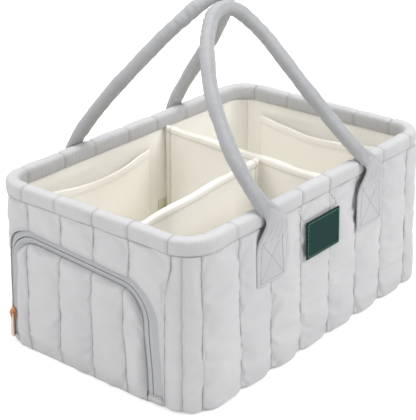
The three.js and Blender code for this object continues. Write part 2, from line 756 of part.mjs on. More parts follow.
function sliderBody() {
  const shield = new THREE.Shape();
  const up = sliderLong / 2;
  shield.moveTo(-sliderNarrow / 2, -up);
  shield.lineTo(sliderNarrow / 2, -up);
  shield.lineTo(sliderWide / 2, up - sliderCorner);
  shield.lineTo(sliderWide / 2 - sliderCorner, up);
  shield.lineTo(-sliderWide / 2 + sliderCorner, up);
  shield.lineTo(-sliderWide / 2, up - sliderCorner);
  const top = plate(shield, sliderPlate, 1);
  top.translate(0, 0, sliderFace);
  const flangeLong = sliderLong - 2 * sliderCorner;
  const flanges = [-1, 1].map((side) => {
    const flange = new THREE.BoxGeometry(flangeWidth, flangeLong, flangeDepth);
    const across = side * (sliderNarrow / 2 - flangeWidth / 2);
    return flange.translate(across, 0, sliderFace + sliderPlate / 2 - flangeDepth / 2);
  });
  const arch = new THREE.Shape();
  const outerRise = bridgeInner + bridgeThickness;
  const outerHalf = bridgeHalf + bridgeThickness;
  arch.moveTo(outerHalf, -sliderPlate / 2);
  arch.lineTo(outerHalf, 0);
  arch.absellipse(0, 0, outerHalf, outerRise, 0, Math.PI);
  arch.lineTo(-outerHalf, -sliderPlate / 2);
  arch.lineTo(-bridgeHalf, -sliderPlate / 2);
  arch.lineTo(-bridgeHalf, 0);
  arch.absellipse(0, 0, bridgeHalf, bridgeInner, Math.PI, 0, true);
  arch.lineTo(bridgeHalf, -sliderPlate / 2);
  const bridge = plate(arch, bridgeWidth, bridgeSteps);
  bridge.translate(0, 0, -bridgeWidth / 2);
  bridge.rotateY(quarter);
  bridge.rotateX(quarter);
  bridge.translate(0, 0, sliderFace + sliderPlate);
  return joined(top, ...flanges, bridge);
}

const slider = addMesh(wallGroups.pocketEnd, 'zip_slider', sliderBody(), finish(sliderCopper, 0.3, 0.9));
layOnWall(slider, walls.pocketEnd, legAlong, 0, sliderHeight);

// Zip pull: a bar in the bridge, two arms past it and a long tab that hangs down

const pullHinge = sliderFace + sliderPlate + bridgeInner / 2;

function pullTab() {
  const outline = new THREE.Shape();
  const half = pullWidth / 2;
  outline.moveTo(half, 0);
  outline.lineTo(half, pullEndRadius - pullLong);
  outline.absarc(half - pullEndRadius, pullEndRadius - pullLong, pullEndRadius, 0, -quarter, true);
  outline.lineTo(pullEndRadius - half, -pullLong);
  outline.absarc(pullEndRadius - half, pullEndRadius - pullLong, pullEndRadius, -quarter, -Math.PI, true);
  outline.lineTo(-half, 0);
  const slot = new THREE.Path();
  const slotHalf = pullSlotWide / 2;
  slot.moveTo(-slotHalf, -pullBar / 2);
  slot.lineTo(-slotHalf, -pullSlotLong);
  slot.lineTo(slotHalf, -pullSlotLong);
  slot.lineTo(slotHalf, -pullBar / 2);
  outline.holes.push(slot);
  const blade = plate(outline, pullThickness, 3);
  blade.translate(0, 0, -pullThickness / 2);
  const bar = new THREE.CylinderGeometry(pullBar, pullBar, pullWidth, barSides);
  bar.rotateZ(quarter);
  return joined(blade, bar);
}

const pull = addMesh(wallGroups.pocketEnd, 'zip_pull', pullTab(), finish(pullGold, 0.25, 0.9));
layOnWall(pull, walls.pocketEnd, legAlong, 0, sliderHeight);
pull.translateZ(pullHinge);

// Dividers: a cloth sleeve, open below, over a board. Each runs between two places of the tub.

// A point of a divider from its start to its end, with its ends square to what they meet.
function dividerPlace({ from, to, alongX }, share, side, height) {
  const along = THREE.MathUtils.lerp(from.along, to.along, share);
  const across = THREE.MathUtils.lerp(from.across, to.across, share) + side;
  return alongX ? new THREE.Vector3(along, across, height) : new THREE.Vector3(across, along, height);
}

function dividerSolid(run, half, foot, top, round, startInset = 0, endInset = 0) {
  const whole = run.to.along - run.from.along;
  const shares = [startInset / whole, 1 - endInset / whole];
  const rows = [[foot, half], [top - round, half], [top, half - round]];
  const face = (side) => shares.map((share) => {
    return rows.map(([height, out]) => dividerPlace(run, share, side * out, height));
  });
  return sheet(face(1), face(-1));
}

function addDivider(name, run) {
  const inset = dividerSleeve;
  const cavityHalf = dividerThickness / 2 - dividerSleeve;
  const body = dividerSolid(run, dividerThickness / 2, dividerFoot, dividerTop, dividerRound);
  const cavityTop = dividerTop - inset - dividerRound;
  const cavity = dividerSolid(run, cavityHalf, dividerFoot - overrun, cavityTop, 0, inset, inset);
  addMesh(caddy, `${name}_sleeve`, cut(body, cavity), finish(creamCloth, 0.85));
  const boardInset = inset + clearance;
  const boardTop = cavityTop - clearance;
  const board = dividerSolid(run, dividerBoard / 2, dividerFoot, boardTop, 0, boardInset, boardInset);
  addMesh(caddy, `${name}_board`, board, finish(boardWhite, 0.6));
}

const crossRun = {
  alongX: false,
  from: { along: -(tubWidth / 2 + dividerEnd), across: crossFront },
  to: { along: tubWidth / 2 + dividerEnd, across: crossBack },
};
const crossAt = (y) => {
  const share = (y - crossRun.from.along) / (crossRun.to.along - crossRun.from.along);
  return THREE.MathUtils.lerp(crossFront, crossBack, share);
};
const crossFace = crossAt(longAtCross) - dividerThickness / 2;
const crossSlope = (crossBack - crossFront) / (crossRun.to.along - crossRun.from.along);
const slopeGap = clearance + (hookWidth / 2) * crossSlope; // keeps a square strip clear of the skewed face
const crossLoopFace = crossFace - slopeGap - loopThickness;
const crossHookFace = crossLoopFace - clearance;
const longRun = {
  alongX: true,
  from: { along: -(tubLength / 2 + dividerEnd), across: longAtEnd },
  to: { along: crossHookFace - hookThickness - clearance, across: longAtCross },
};
addDivider('cross_divider', crossRun);
addDivider('long_divider', longRun);

// Hook and loop strips hold the dividers to the lining and to each other

function strip(name, wide, tall, thick, facing, x, y, foot, color) {
  const shape = roundedRectangle(wide / 2, tall / 2, thick);
  const mesh = addMesh(caddy, name, plate(shape, thick, 2), finish(color, 0.95));
  const turn = new THREE.Group();
  turn.rotation.z = facing;
  turn.position.set(x, y, foot + tall / 2);
  caddy.add(turn);
  turn.add(mesh);
  mesh.rotation.x = quarter;
}

function hookStrip(name, facing, x, y) {
  strip(name, hookWidth, hookHeight, hookThickness, facing, x, y, hookFoot, hookCream);
}

function loopStrip(name, facing, x, y) {
  strip(name, loopWidth, loopHeight, loopThickness, facing, x, y, hookFoot, creamCloth);
}

loopStrip('front_wall_loop', 0, crossFront, -(tubWidth / 2 + loopFace - loopThickness));
loopStrip('back_wall_loop', Math.PI, crossBack, tubWidth / 2 + loopFace - loopThickness);
loopStrip('pocket_end_loop', -quarter, -(tubLength / 2 + loopFace - loopThickness), longAtEnd);
loopStrip('cross_divider_loop', -quarter, crossLoopFace + loopThickness, longAtCross);
hookStrip('cross_divider_front_hook', 0, crossFront, -(tubWidth / 2 + hookFace - hookThickness));
hookStrip('cross_divider_back_hook', Math.PI, crossBack, tubWidth / 2 + hookFace - hookThickness);
hookStrip('long_divider_end_hook', -quarter, -(tubLength / 2 + hookFace - hookThickness), longAtEnd);
hookStrip('long_divider_cross_hook', -quarter, crossHookFace, longAtCross);

// Inner pockets: sheets sewn to the lining at their foot and sides, slack and open at the top

function innerPocket(wall, from, to) {
  const columns = inOrder(pocketColumns + 1).map((index) => index / pocketColumns);
  const face = (inset) => columns.map((share) => pocketRowShares.map((rowShare) => {
    const along = THREE.MathUtils.lerp(from, to, share);
    const height = THREE.MathUtils.lerp(innerPocketFoot, innerPocketTop, rowShare);
    const bulge = innerPocketBulge * Math.sin(Math.PI * share) * rowShare;
    return onWall(wall, along, roomFace - clearance - bulge - inset, height);
  }));
  return sheet(face(0), face(innerPocketSheet));
}

const pocketCloth = () => finish(creamCloth, 0.85);
const backPocket = innerPocket(walls.back, backPocketFrom, backPocketTo);
addMesh(wallGroups.back, 'back_inner_pocket', backPocket, pocketCloth());
const endPocket = innerPocket(walls.plainEnd, -endPocketHalf, endPocketHalf);
addMesh(wallGroups.plainEnd, 'plain_end_inner_pocket', endPocket, pocketCloth());

export default caddy;
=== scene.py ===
# %% [markdown]
# # A quilted caddy
#
# This lesson dresses a finished mechanical model of a soft nursery caddy: a boarded tub with quilted
# walls, a padded rim, two standing handles, a zip pocket on one end and two dividers that lift out. The
# solids that carry and joint it come in as a fixed frame. Each soft piece is then modelled again in its
# place, with its seams, folds and weave.

# %% Load the frame
import math

import bmesh
import bpy
import numpy as np
from mathutils import Matrix, Vector


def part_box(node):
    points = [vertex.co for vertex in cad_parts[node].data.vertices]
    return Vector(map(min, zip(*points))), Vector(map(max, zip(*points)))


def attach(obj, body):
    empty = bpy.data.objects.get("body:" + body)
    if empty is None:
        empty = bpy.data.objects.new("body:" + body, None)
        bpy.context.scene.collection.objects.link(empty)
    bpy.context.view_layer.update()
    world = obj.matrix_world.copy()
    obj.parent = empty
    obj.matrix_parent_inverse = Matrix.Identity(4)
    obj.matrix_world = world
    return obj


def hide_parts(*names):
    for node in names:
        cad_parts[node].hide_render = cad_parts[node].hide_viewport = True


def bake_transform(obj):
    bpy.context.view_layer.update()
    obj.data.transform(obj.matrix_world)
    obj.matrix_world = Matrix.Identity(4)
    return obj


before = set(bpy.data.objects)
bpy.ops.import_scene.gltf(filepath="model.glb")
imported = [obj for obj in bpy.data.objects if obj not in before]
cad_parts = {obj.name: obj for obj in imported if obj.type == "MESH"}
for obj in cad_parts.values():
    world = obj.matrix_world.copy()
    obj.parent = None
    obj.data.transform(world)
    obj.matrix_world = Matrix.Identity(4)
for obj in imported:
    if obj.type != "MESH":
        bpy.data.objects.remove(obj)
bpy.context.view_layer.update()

# %% [markdown]
# ## The sizes that everything follows
#
# The frame gives boxes, but a wrapped and quilted wall needs the rule behind them: how long the straight
# stretches are, how the corners turn and where the seams run. So the main sizes are named once here, in
# metres, and every piece below takes its place from them.

# %% Sizes of the tub
mm = 0.001
tub_length = 380 * mm
tub_width = 245 * mm
wall_height = 157 * mm
corner_radius = 30 * mm
flare = 5 * mm
clearance = 0.3 * mm
wadding = 4 * mm
hem_radius = 5 * mm
hem_start = -4 * mm
base_padding = 4.5 * mm
wall_top = wall_height - clearance
board_face = -(wadding + clearance)
board_and_gap = 2.3 * mm
lining_face = board_face - board_and_gap
lining_thickness = 1 * mm
room_face = lining_face - lining_thickness
floor_foot = 7.6 * mm
floor_top = floor_foot + lining_thickness
quarter_turn = math.pi / 2 * corner_radius
end_wrap = math.radians(30) * corner_radius
pocket_wrap = math.radians(55) * corner_radius


def wall_values(facing, straight, reach, before, after):
    """A wall whose pad wraps a stretch of corner before its straight part and one after it."""
    start, end = -straight - before, straight + after
    return {"facing": facing, "straight": straight, "reach": reach, "start": start, "end": end}


long_straight = tub_length / 2 - corner_radius
end_straight = tub_width / 2 - corner_radius
long_wrap = quarter_turn - end_wrap
walls = {
    "front": wall_values(0.0, long_straight, tub_width / 2, long_wrap, long_wrap),
    "plain_end": wall_values(math.pi / 2, end_straight, tub_length / 2, end_wrap, end_wrap),
    "back": wall_values(math.pi, long_straight, tub_width / 2, long_wrap, quarter_turn - pocket_wrap),
    "pocket_end": wall_values(-math.pi / 2, end_straight, tub_length / 2, pocket_wrap, end_wrap),
}


def swell(height):
    """How far a wall stands out past its line at the rim, since it leans outward towards its foot."""
    return flare * (1 - height / wall_height)


def on_wall(wall, along, offset, height):
    """Points along a wall and round its corners, outside its seam line by offset."""
    along, offset, height = np.broadcast_arrays(*map(np.asarray, (along, offset, height)))
    beyond = np.maximum(np.abs(along) - wall["straight"], 0)
    turn = np.sign(along) * beyond / corner_radius
    radius = corner_radius + offset
    x = np.sign(along) * np.minimum(np.abs(along), wall["straight"]) + radius * np.sin(turn)
    y = corner_radius - wall["reach"] - radius * np.cos(turn)
    cosine, sine = math.cos(wall["facing"]), math.sin(wall["facing"])
    return np.stack([x * cosine - y * sine, x * sine + y * cosine, height + 0 * x], -1)


def smooth_step(value, low, high):
    """0 below low, 1 above high, with a smooth rise between."""
    share = np.clip((np.asarray(value, float) - low) / (high - low), 0, 1)
    return share * share * (3 - 2 * share)


def fade(distance, width):
    """1 at no distance, falling off like a bell with about that half width."""
    return np.exp(-(distance / width) ** 2)


def grid_of(u, v):
    """Two arrays of places with u down the columns and v along the rows."""
    return np.meshgrid(u, v, indexing="ij")


def run_of(points):
    """Metres travelled from the first of a row of points to each of them."""
    return np.concatenate([[0], np.cumsum(np.linalg.norm(np.diff(points, axis=0), axis=1))])


def unit(ways):
    """The same directions with a length of one."""
    return ways / np.linalg.norm(ways, axis=-1, keepdims=True)


wave_count = 9
shortest_wave, longest_wave = 0.7, 1.6
usual_peak = 4


def soft_waves(u, v, size, seed, stretch=1.0):
    """Smooth random waves of about the given size, mostly from -1 to 1. Stretch draws them out along v."""
    random = np.random.default_rng(seed)
    total = np.zeros(np.broadcast(u, v).shape)
    for _ in range(wave_count):
        angle, phase = random.uniform(0, 2 * np.pi, 2)
        pitch = size * random.uniform(shortest_wave, longest_wave)
        total += np.sin(2 * np.pi * (u * np.cos(angle) + v * np.sin(angle) / stretch) / pitch + phase)
    return total / usual_peak


for name, wall in walls.items():
    print(name, "pad length:", round(wall["end"] - wall["start"], 4))

# %% [markdown]
# ## Tools for soft surfaces
#
# A cloth wall is a grid primitive whose points are laid on the wall by rule, which keeps its seams on
# mesh lines. Solidify then gives it a back, and the back's points are laid by rule too. Places along the
# cloth go into the UV map in metres, so weave and stitches keep their real size. The distance to the
# nearest seam goes into an attribute that the material reads, and so does a tone of painted shade,
# which darkens the cloth's colour where it lies in a fold or a hollow, out of the light.

# %% Grids laid by rule
merge_gap = 0.01 * mm
fine_gap = 0.005 * mm


def only(piece):
    """Selects one object alone and makes it active, because operators act on all that is selected."""
    for other in bpy.context.selected_objects:
        other.select_set(False)
    piece.select_set(True)
    bpy.context.view_layer.objects.active = piece


def points_of(piece):
    """The points of a piece's mesh, one to a row."""
    points = np.empty(len(piece.data.vertices) * 3)
    piece.data.vertices.foreach_get("co", points)
    return points.reshape(-1, 3)


def put_points(piece, points):
    """Moves the points of a piece's mesh to new places."""
    piece.data.vertices.foreach_set("co", np.ascontiguousarray(points, dtype=np.float64).ravel())
    piece.data.update()


def shaped_grid(name, points, places, seam=1.0, mottle_and_painted_shade=0.0):
    """A grid primitive with its points put in place. The places are metres along and up the cloth, and go
    into its UV map. A seam of 1 metre is no seam at all."""
    columns, rows = points.shape[:2]
    bpy.ops.mesh.primitive_grid_add(x_subdivisions=columns - 1, y_subdivisions=rows - 1, size=1)
    piece = bpy.context.object
    piece.name = name
    flat = points_of(piece)
    i = np.rint((flat[:, 0] + 0.5) * (columns - 1)).astype(int)
    j = np.rint((flat[:, 1] + 0.5) * (rows - 1)).astype(int)
    put_points(piece, points[i, j])
    corner = np.empty(len(piece.data.loops), dtype=int)
    piece.data.loops.foreach_get("vertex_index", corner)
    places = np.broadcast_to(places, (columns, rows, 2))
    piece.data.uv_layers[0].data.foreach_set("uv", places[i, j][corner].ravel())
    # The second attribute carries painted shade: the cloth material darkens its colour by it where the cloth
    # lies in a hollow or out of the light.
    for key, value in (("seam", seam), ("mottle_and_painted_shade", mottle_and_painted_shade)):
        spread = np.broadcast_to(value, (columns, rows))
        stored = piece.data.attributes.new(key, "FLOAT", "POINT")
        stored.data.foreach_set("value", np.ascontiguousarray(spread[i, j], dtype=np.float64))
    return piece


def apply(piece, kind, **settings):
    """Adds a modifier and applies it."""
    only(piece)
    modifier = piece.modifiers.new(kind.title(), kind)
    for key, value in settings.items():
        setattr(modifier, key, value)
    bpy.ops.object.modifier_apply(modifier=modifier.name)


def edit_all(piece, *steps):
    """Runs mesh operators on all of a piece. Each step is an operator with its settings."""
    only(piece)
    bpy.ops.object.mode_set(mode="EDIT")
    for operator, settings in steps:
        bpy.ops.mesh.select_all(action="SELECT")
        operator(**settings)
    bpy.ops.object.mode_set(mode="OBJECT")


merge_doubles = (bpy.ops.mesh.remove_doubles, {"threshold": merge_gap})
turn_outward = (bpy.ops.mesh.normals_make_consistent, {"inside": False})
fill_ends = (bpy.ops.mesh.fill_holes, {"sides": 0})


def smooth(piece, angle=math.radians(180)):
    """Shades a piece smooth, save at edges sharper than the angle."""
    only(piece)
    bpy.ops.object.shade_smooth_by_angle(angle=angle)


def give_back(piece, inner, rounding=0):
    """Gives a laid grid its inner face, at points laid by rule, and closes the edges between."""
    front = points_of(piece).copy()
    columns, rows = inner.shape[:2]
    apply(piece, "SOLIDIFY", thickness=1 * mm, offset=-1)
    order = np.arange(columns * rows)
    behind = inner[order % columns, order // columns]
    put_points(piece, np.concatenate([front, behind]))
    edit_all(piece, turn_outward)
    if rounding:
        apply(piece, "SUBSURF", levels=rounding, render_levels=rounding)
    smooth(piece)


def closed_tube(name, rings, places, seam=1.0, mottle_and_painted_shade=0.0):
    """A grid rolled into a tube: rings[i, j] with j round the tube. Its ends are filled."""
    wrapped = np.concatenate([rings, rings[:, :1]], 1)
    piece = shaped_grid(name, wrapped, places, seam, mottle_and_painted_shade)
    edit_all(piece, merge_doubles, turn_outward, fill_ends, turn_outward)
    smooth(piece)
    return piece


print("cloth tools ready")

# %% [markdown]
# ## Shared effects
#
# Four effects come back in many of the finishes, so each is a node group made once: the plain weave of
# the cloth, soft crumples, the line of a sewn seam with the puckers beside it, and a slow drift of
# colour. They put out only masks and heights, and each material mixes them with values of its own.

# %% Node helpers
def feed(tree, socket, value):
    """Links a socket's value to an input, or writes a plain value into it."""
    if isinstance(value, bpy.types.NodeSocket):
        tree.links.new(value, socket)
    else:
        socket.default_value = value


def add_node(tree, kind, settings=None, **inputs):
    """Adds a node. An input is a value, or a socket to link."""
    made = tree.nodes.new(kind)
    for key, value in (settings or {}).items():
        setattr(made, key, value)
    for key, value in inputs.items():
        feed(tree, made.inputs[key.replace("_", " ")], value)
    return made


def calc(tree, operation, *values, clamp=False):
    """A Math node on the values, and its result."""
    made = add_node(tree, "ShaderNodeMath", {"operation": operation, "use_clamp": clamp})
    for socket, value in zip(made.inputs, values):
        feed(tree, socket, value)
    return made.outputs[0]


def stretched(tree, place, scale):
    """Places multiplied by a scale for each axis, which draws a noise out along one of them."""
    made = add_node(tree, "ShaderNodeVectorMath", {"operation": "MULTIPLY"})
    feed(tree, made.inputs[0], place)
    feed(tree, made.inputs[1], scale)
    return made.outputs[0]


def noise(tree, place, scale, detail, **inputs):
    """A noise of the places, mostly near the middle between 0 and 1."""
    made = add_node(tree, "ShaderNodeTexNoise", Vector=place, Scale=scale, Detail=detail, **inputs)
    return made.outputs["Fac"]


def between(tree, value, low, high):
    """0 below low, 1 above high, with a smooth rise."""
    smoothly = {"interpolation_type": "SMOOTHSTEP"}
    made = add_node(tree, "ShaderNodeMapRange", smoothly, Value=value, From_Min=low, From_Max=high)
    return made.outputs["Result"]


def blend_colors(tree, mask, first, second):
    """The first colour where the mask is 0 and the second where it is 1."""
    made = add_node(tree, "ShaderNodeMix", {"data_type": "RGBA"})
    feed(tree, made.inputs[0], mask)
    for socket, value in ((made.inputs[6], first), (made.inputs[7], second)):
        feed(tree, socket, (*value, 1) if isinstance(value, tuple) else value)
    return made.outputs[2]


def new_group(name, inputs, outputs):
    """A node group with its sockets, and the ends that its own nodes link to."""
    group = bpy.data.node_groups.new(name, "ShaderNodeTree")
    for socket, kind, value in inputs:
        made = group.interface.new_socket(socket, in_out="INPUT", socket_type="NodeSocket" + kind)
        if value is not None:
            made.default_value = value
    for socket in outputs:
        group.interface.new_socket(socket, in_out="OUTPUT", socket_type="NodeSocketFloat")
    start = group.nodes.new("NodeGroupInput")
    end = group.nodes.new("NodeGroupOutput")
    return group, start.outputs, end.inputs


def use_group(tree, group, **inputs):
    """Places a node group and returns its outputs."""
    return add_node(tree, "ShaderNodeGroup", {"node_tree": group}, **inputs).outputs

# %% The four effects
slub_scale = (180, 1400, 1)
fine_crumple_scale = 3.3
fine_crumple_share = 0.25
ridge_gain = 3.0
dash_ends = (-0.75, -0.2)
line_between_dashes = 0.55
line_in_dashes = 0.45
shade_widths = 7.0
pucker_scale = (40, 330, 1)
pucker_reach = 12 * mm
drift_scale = 14.0


def ripple(tree, value, pitch, turn):
    """A sine of a length, which goes through the turn in each pitch."""
    return calc(tree, "SINE", calc(tree, "MULTIPLY", calc(tree, "DIVIDE", value, pitch), turn))


def closeness(tree, distance, reach):
    """1 at no distance, falling evenly to 0 at the reach."""
    return calc(tree, "SUBTRACT", 1.0, calc(tree, "DIVIDE", distance, reach), clamp=True)


def make_weave():
    """Threads over and under each other, and slubs drawn out along the cloth."""
    sockets = [("Place", "Vector", None), ("Thread", "Float", 0.6 * mm)]
    group, given, put = new_group("Plain weave", sockets, ["Height", "Slub"])
    split = add_node(group, "ShaderNodeSeparateXYZ", Vector=given["Place"])
    across = ripple(group, split.outputs[0], given["Thread"], math.pi)
    upward = ripple(group, split.outputs[1], given["Thread"], math.pi)
    height = calc(group, "MULTIPLY_ADD", calc(group, "MULTIPLY", across, upward), 0.5, 0.5)
    group.links.new(height, put["Height"])
    drawn = stretched(group, given["Place"], slub_scale)
    slub = noise(group, drawn, 1.0, 2.0)
    group.links.new(slub, put["Slub"])
    return group


def make_crumple():
    """Creases along the middle of a broad noise, with finer ones over them."""
    sockets = [("Place", "Vector", None), ("Size", "Float", 30 * mm)]
    group, given, put = new_group("Crumple", sockets, ["Height"])
    scale = calc(group, "DIVIDE", 1.0, given["Size"])
    broad = noise(group, given["Place"], scale, 3.0, Distortion=0.6)
    ridge = calc(group, "ABSOLUTE", calc(group, "SUBTRACT", broad, 0.5))
    fine_scale = calc(group, "MULTIPLY", scale, fine_crumple_scale)
    fine = noise(group, given["Place"], fine_scale, 2.0)
    broad_height = calc(group, "SUBTRACT", 1.0, calc(group, "MULTIPLY", ridge, ridge_gain))
    height = calc(group, "MULTIPLY_ADD", fine, fine_crumple_share, broad_height)
    group.links.new(height, put["Height"])
    return group


def make_seam():
    """A dashed line on the seam, the painted shade of the valley round it and the puckers beside it."""
    sockets = [("Distance", "Float", 1.0), ("Place", "Vector", None), ("Width", "Float", 0.8 * mm),
               ("Stitch", "Float", 3.5 * mm)]
    group, given, put = new_group("Sewn seam", sockets, ["Line", "Shade", "Pucker"])
    split = add_node(group, "ShaderNodeSeparateXYZ", Vector=given["Place"])
    near = closeness(group, given["Distance"], given["Width"])
    dash = between(group, ripple(group, split.outputs[1], given["Stitch"], 2 * math.pi), *dash_ends)
    drawn_line = calc(group, "MULTIPLY_ADD", dash, line_in_dashes, line_between_dashes)
    group.links.new(calc(group, "MULTIPLY", near, drawn_line), put["Line"])
    # Painted shade in the valley round the seam, where the cloth dips in.
    wide = closeness(group, given["Distance"], calc(group, "MULTIPLY", given["Width"], shade_widths))
    group.links.new(calc(group, "MULTIPLY", wide, wide), put["Shade"])
    drawn = stretched(group, given["Place"], pucker_scale)
    gather = noise(group, drawn, 1.0, 2.0)
    beside = closeness(group, given["Distance"], pucker_reach)
    group.links.new(calc(group, "MULTIPLY", gather, beside), put["Pucker"])
    return group


def make_drift():
    """Broad patches that come and go slowly."""
    group, given, put = new_group("Slow drift", [("Place", "Vector", None)], ["Mask"])
    broad = noise(group, given["Place"], drift_scale, 4.0, Roughness=0.6)
    group.links.new(between(group, broad, 0.3, 0.7), put["Mask"])
    return group


weave_effect = make_weave()
crumple_effect = make_crumple()
seam_effect = make_seam()
drift_effect = make_drift()
print("node groups:", [group.name for group in bpy.data.node_groups])

# %% [markdown]
# ## Finishes
#
# Colours are written as a viewer would name them, on the 0 to 255 scale, and turned to the linear values
# that the shader works in. Each cloth takes its own thread size, crumple size and seam darkness.

# %% Cloth and metal
cloth_roughness = 0.8
cloth_specular = 0.3
seam_line_width = 0.65 * mm
valley_shade = 0.5
slub_share = 0.35
drift_share = 0.5
painted_shade_share = 0.72
crumple_share = 0.6
pucker_share = 1.2
thread_depth = 0.3 * mm
fold_depth = 2 * mm


def color(*parts):
    """A colour on the 0 to 255 scale as linear values."""
    return tuple(((part / 255 + 0.055) / 1.055) ** 2.4 if part > 10 else part / 255 / 12.92 for part in parts)


def blank_material(name, roughness):
    """A material with its node tree and its shader."""
    material = bpy.data.materials.new(name)
    material.use_nodes = True
    tree = material.node_tree
    shader = tree.nodes["Principled BSDF"]
    shader.inputs["Roughness"].default_value = roughness
    return material, tree, shader


def attribute(tree, name):
    """A value that the mesh carries at its points."""
    return add_node(tree, "ShaderNodeAttribute", {"attribute_name": name}).outputs["Fac"]


def bumped(tree, strength, depth, height, **inputs):
    """The surface's normal, tilted by a height."""
    made = add_node(tree, "ShaderNodeBump", Strength=strength, Distance=depth, Height=height, **inputs)
    return made.outputs[0]


def cloth(name, light, dark, seam_color, thread=0.6 * mm, crumple=35 * mm, bump=0.25, weave=0.12, sheen=0.08):
    """Woven cloth whose colour goes from light to dark at random, towards a painted shade colour in hollows
    and seam valleys, and to its seam colour on the seams.
    """
    light, dark, seam_color = color(*light), color(*dark), color(*seam_color)
    material, tree, shader = blank_material(name, cloth_roughness)
    shader.inputs["Sheen Weight"].default_value = sheen
    shader.inputs["Sheen Roughness"].default_value = 0.4
    shader.inputs["Specular IOR Level"].default_value = cloth_specular
    coordinates = add_node(tree, "ShaderNodeTexCoord")
    laid = coordinates.outputs["UV"]
    woven = use_group(tree, weave_effect, Place=laid, Thread=thread)
    creased = use_group(tree, crumple_effect, Place=coordinates.outputs["Object"], Size=crumple)
    sewn = use_group(tree, seam_effect, Distance=attribute(tree, "seam"), Place=laid, Width=seam_line_width)
    drifting = use_group(tree, drift_effect, Place=coordinates.outputs["Object"])
    drift = calc(tree, "MULTIPLY", drifting["Mask"], drift_share)
    mottle_and_painted_shade = calc(tree, "MULTIPLY_ADD", woven["Slub"], slub_share, drift)
    # The painted shade colour: the cloth's colour blends towards it as painted shade, by the painted shade
    # attribute and in the valleys beside the seams.
    painted_shade_color = tuple(painted_shade_share * part for part in dark)
    mottled_and_shaded = blend_colors(tree, attribute(tree, "mottle_and_painted_shade"), blend_colors(tree, mottle_and_painted_shade, light, dark), painted_shade_color)
    shaded = blend_colors(tree, calc(tree, "MULTIPLY", sewn["Shade"], valley_shade), mottled_and_shaded, painted_shade_color)
    lined = blend_colors(tree, sewn["Line"], shaded, seam_color)
    tree.links.new(lined, shader.inputs["Base Color"])
    threads = bumped(tree, weave, thread_depth, woven["Height"])
    puckers = calc(tree, "MULTIPLY", sewn["Pucker"], pucker_share)
    folds = calc(tree, "ADD", calc(tree, "MULTIPLY", creased["Height"], crumple_share), puckers)
    tree.links.new(bumped(tree, bump, fold_depth, folds, Normal=threads), shader.inputs["Normal"])
    return material


brush_scale = (900, 900, 60)
wear_scale = 260.0
brush_roughness = 0.16
scratch_depth = 0.05 * mm
grain_depth = 0.2 * mm


def polished(name, light, dark, roughness):
    """Metal with fine brush marks and patches of wear."""
    light, dark = color(*light), color(*dark)
    material, tree, shader = blank_material(name, roughness)
    shader.inputs["Metallic"].default_value = 1.0
    place = add_node(tree, "ShaderNodeTexCoord").outputs["Object"]
    drawn = add_node(tree, "ShaderNodeMapping", Vector=place, Scale=brush_scale)
    brushed = noise(tree, drawn.outputs[0], 1.0, 2.0)
    wear = noise(tree, place, wear_scale, 3.0)
    tree.links.new(blend_colors(tree, wear, light, dark), shader.inputs["Base Color"])
    smoothest = roughness - brush_roughness / 2
    worn = calc(tree, "MULTIPLY_ADD", brushed, brush_roughness, smoothest)
    tree.links.new(worn, shader.inputs["Roughness"])
    scratches = bumped(tree, 0.15, scratch_depth, brushed)
    tree.links.new(scratches, shader.inputs["Normal"])
    return material


def moulded(name, light, dark, roughness, grain):
    """Plastic, board or foam with a fine grain."""
    light, dark = color(*light), color(*dark)
    material, tree, shader = blank_material(name, roughness)
    place = add_node(tree, "ShaderNodeTexCoord").outputs["Object"]
    speck = noise(tree, place, grain, 4.0)
    slow = use_group(tree, drift_effect, Place=place)
    mask = calc(tree, "MULTIPLY", speck, slow["Mask"])
    tree.links.new(blend_colors(tree, mask, light, dark), shader.inputs["Base Color"])
    tree.links.new(bumped(tree, 0.3, grain_depth, speck), shader.inputs["Normal"])
    return material


print("finishes for cloth, metal and plastic ready")

# %% The materials
outer_cloth = cloth("Outer cloth", (214, 214, 215), (204, 204, 206), (128, 128, 131), bump=0.16)
tab_cloth = cloth("Tab cloth", (203, 203, 205), (192, 192, 195), (130, 130, 133), crumple=14 * mm)
handle_cloth = cloth("Handle cloth", (186, 187, 189), (172, 173, 176), (104, 104, 108), crumple=12 * mm)
lining_cloth = cloth("Lining cloth", (255, 253, 247), (252, 249, 239), (196, 182, 152), crumple=45 * mm)
label_cloth = cloth("Label cloth", (8, 58, 54), (4, 44, 41), (2, 22, 18),
                    thread=0.9 * mm, weave=0.3, sheen=0.0, bump=0.15)
tape_cloth = cloth("Zip tape", (192, 193, 195), (182, 183, 186), (120, 120, 122), thread=1.1 * mm, weave=0.2)
fine_thread = 0.3 * mm
thread_cloth = cloth("Sewing thread", (182, 182, 184), (174, 174, 176), (170, 170, 172), fine_thread)
label_thread = cloth("Label thread", (118, 156, 140), (92, 130, 115), (40, 80, 72), fine_thread)
guide_thread = cloth("Guide thread", (128, 128, 130), (116, 116, 118), (110, 110, 112), fine_thread)
hook_tape = cloth("Hook tape", (228, 220, 196), (214, 204, 178), (190, 178, 150),
                  thread=1.6 * mm, weave=0.8)
loop_tape = cloth("Loop tape", (238, 231, 210), (226, 218, 194), (196, 184, 156),
                  thread=1.3 * mm, weave=0.7)
coil_nylon = moulded("Zip coil", (120, 121, 124), (92, 93, 96), 0.45, 900.0)
board_sheet = moulded("Board", (230, 228, 220), (214, 211, 200), 0.6, 500.0)
foam = moulded("Foam", (238, 238, 234), (222, 222, 216), 0.9, 1200.0)
slider_metal = polished("Slider copper", (232, 182, 140), (200, 146, 106), 0.3)
pull_metal = polished("Pull rose gold", (255, 234, 216), (248, 214, 190), 0.3)
print("materials:", len(bpy.data.materials))

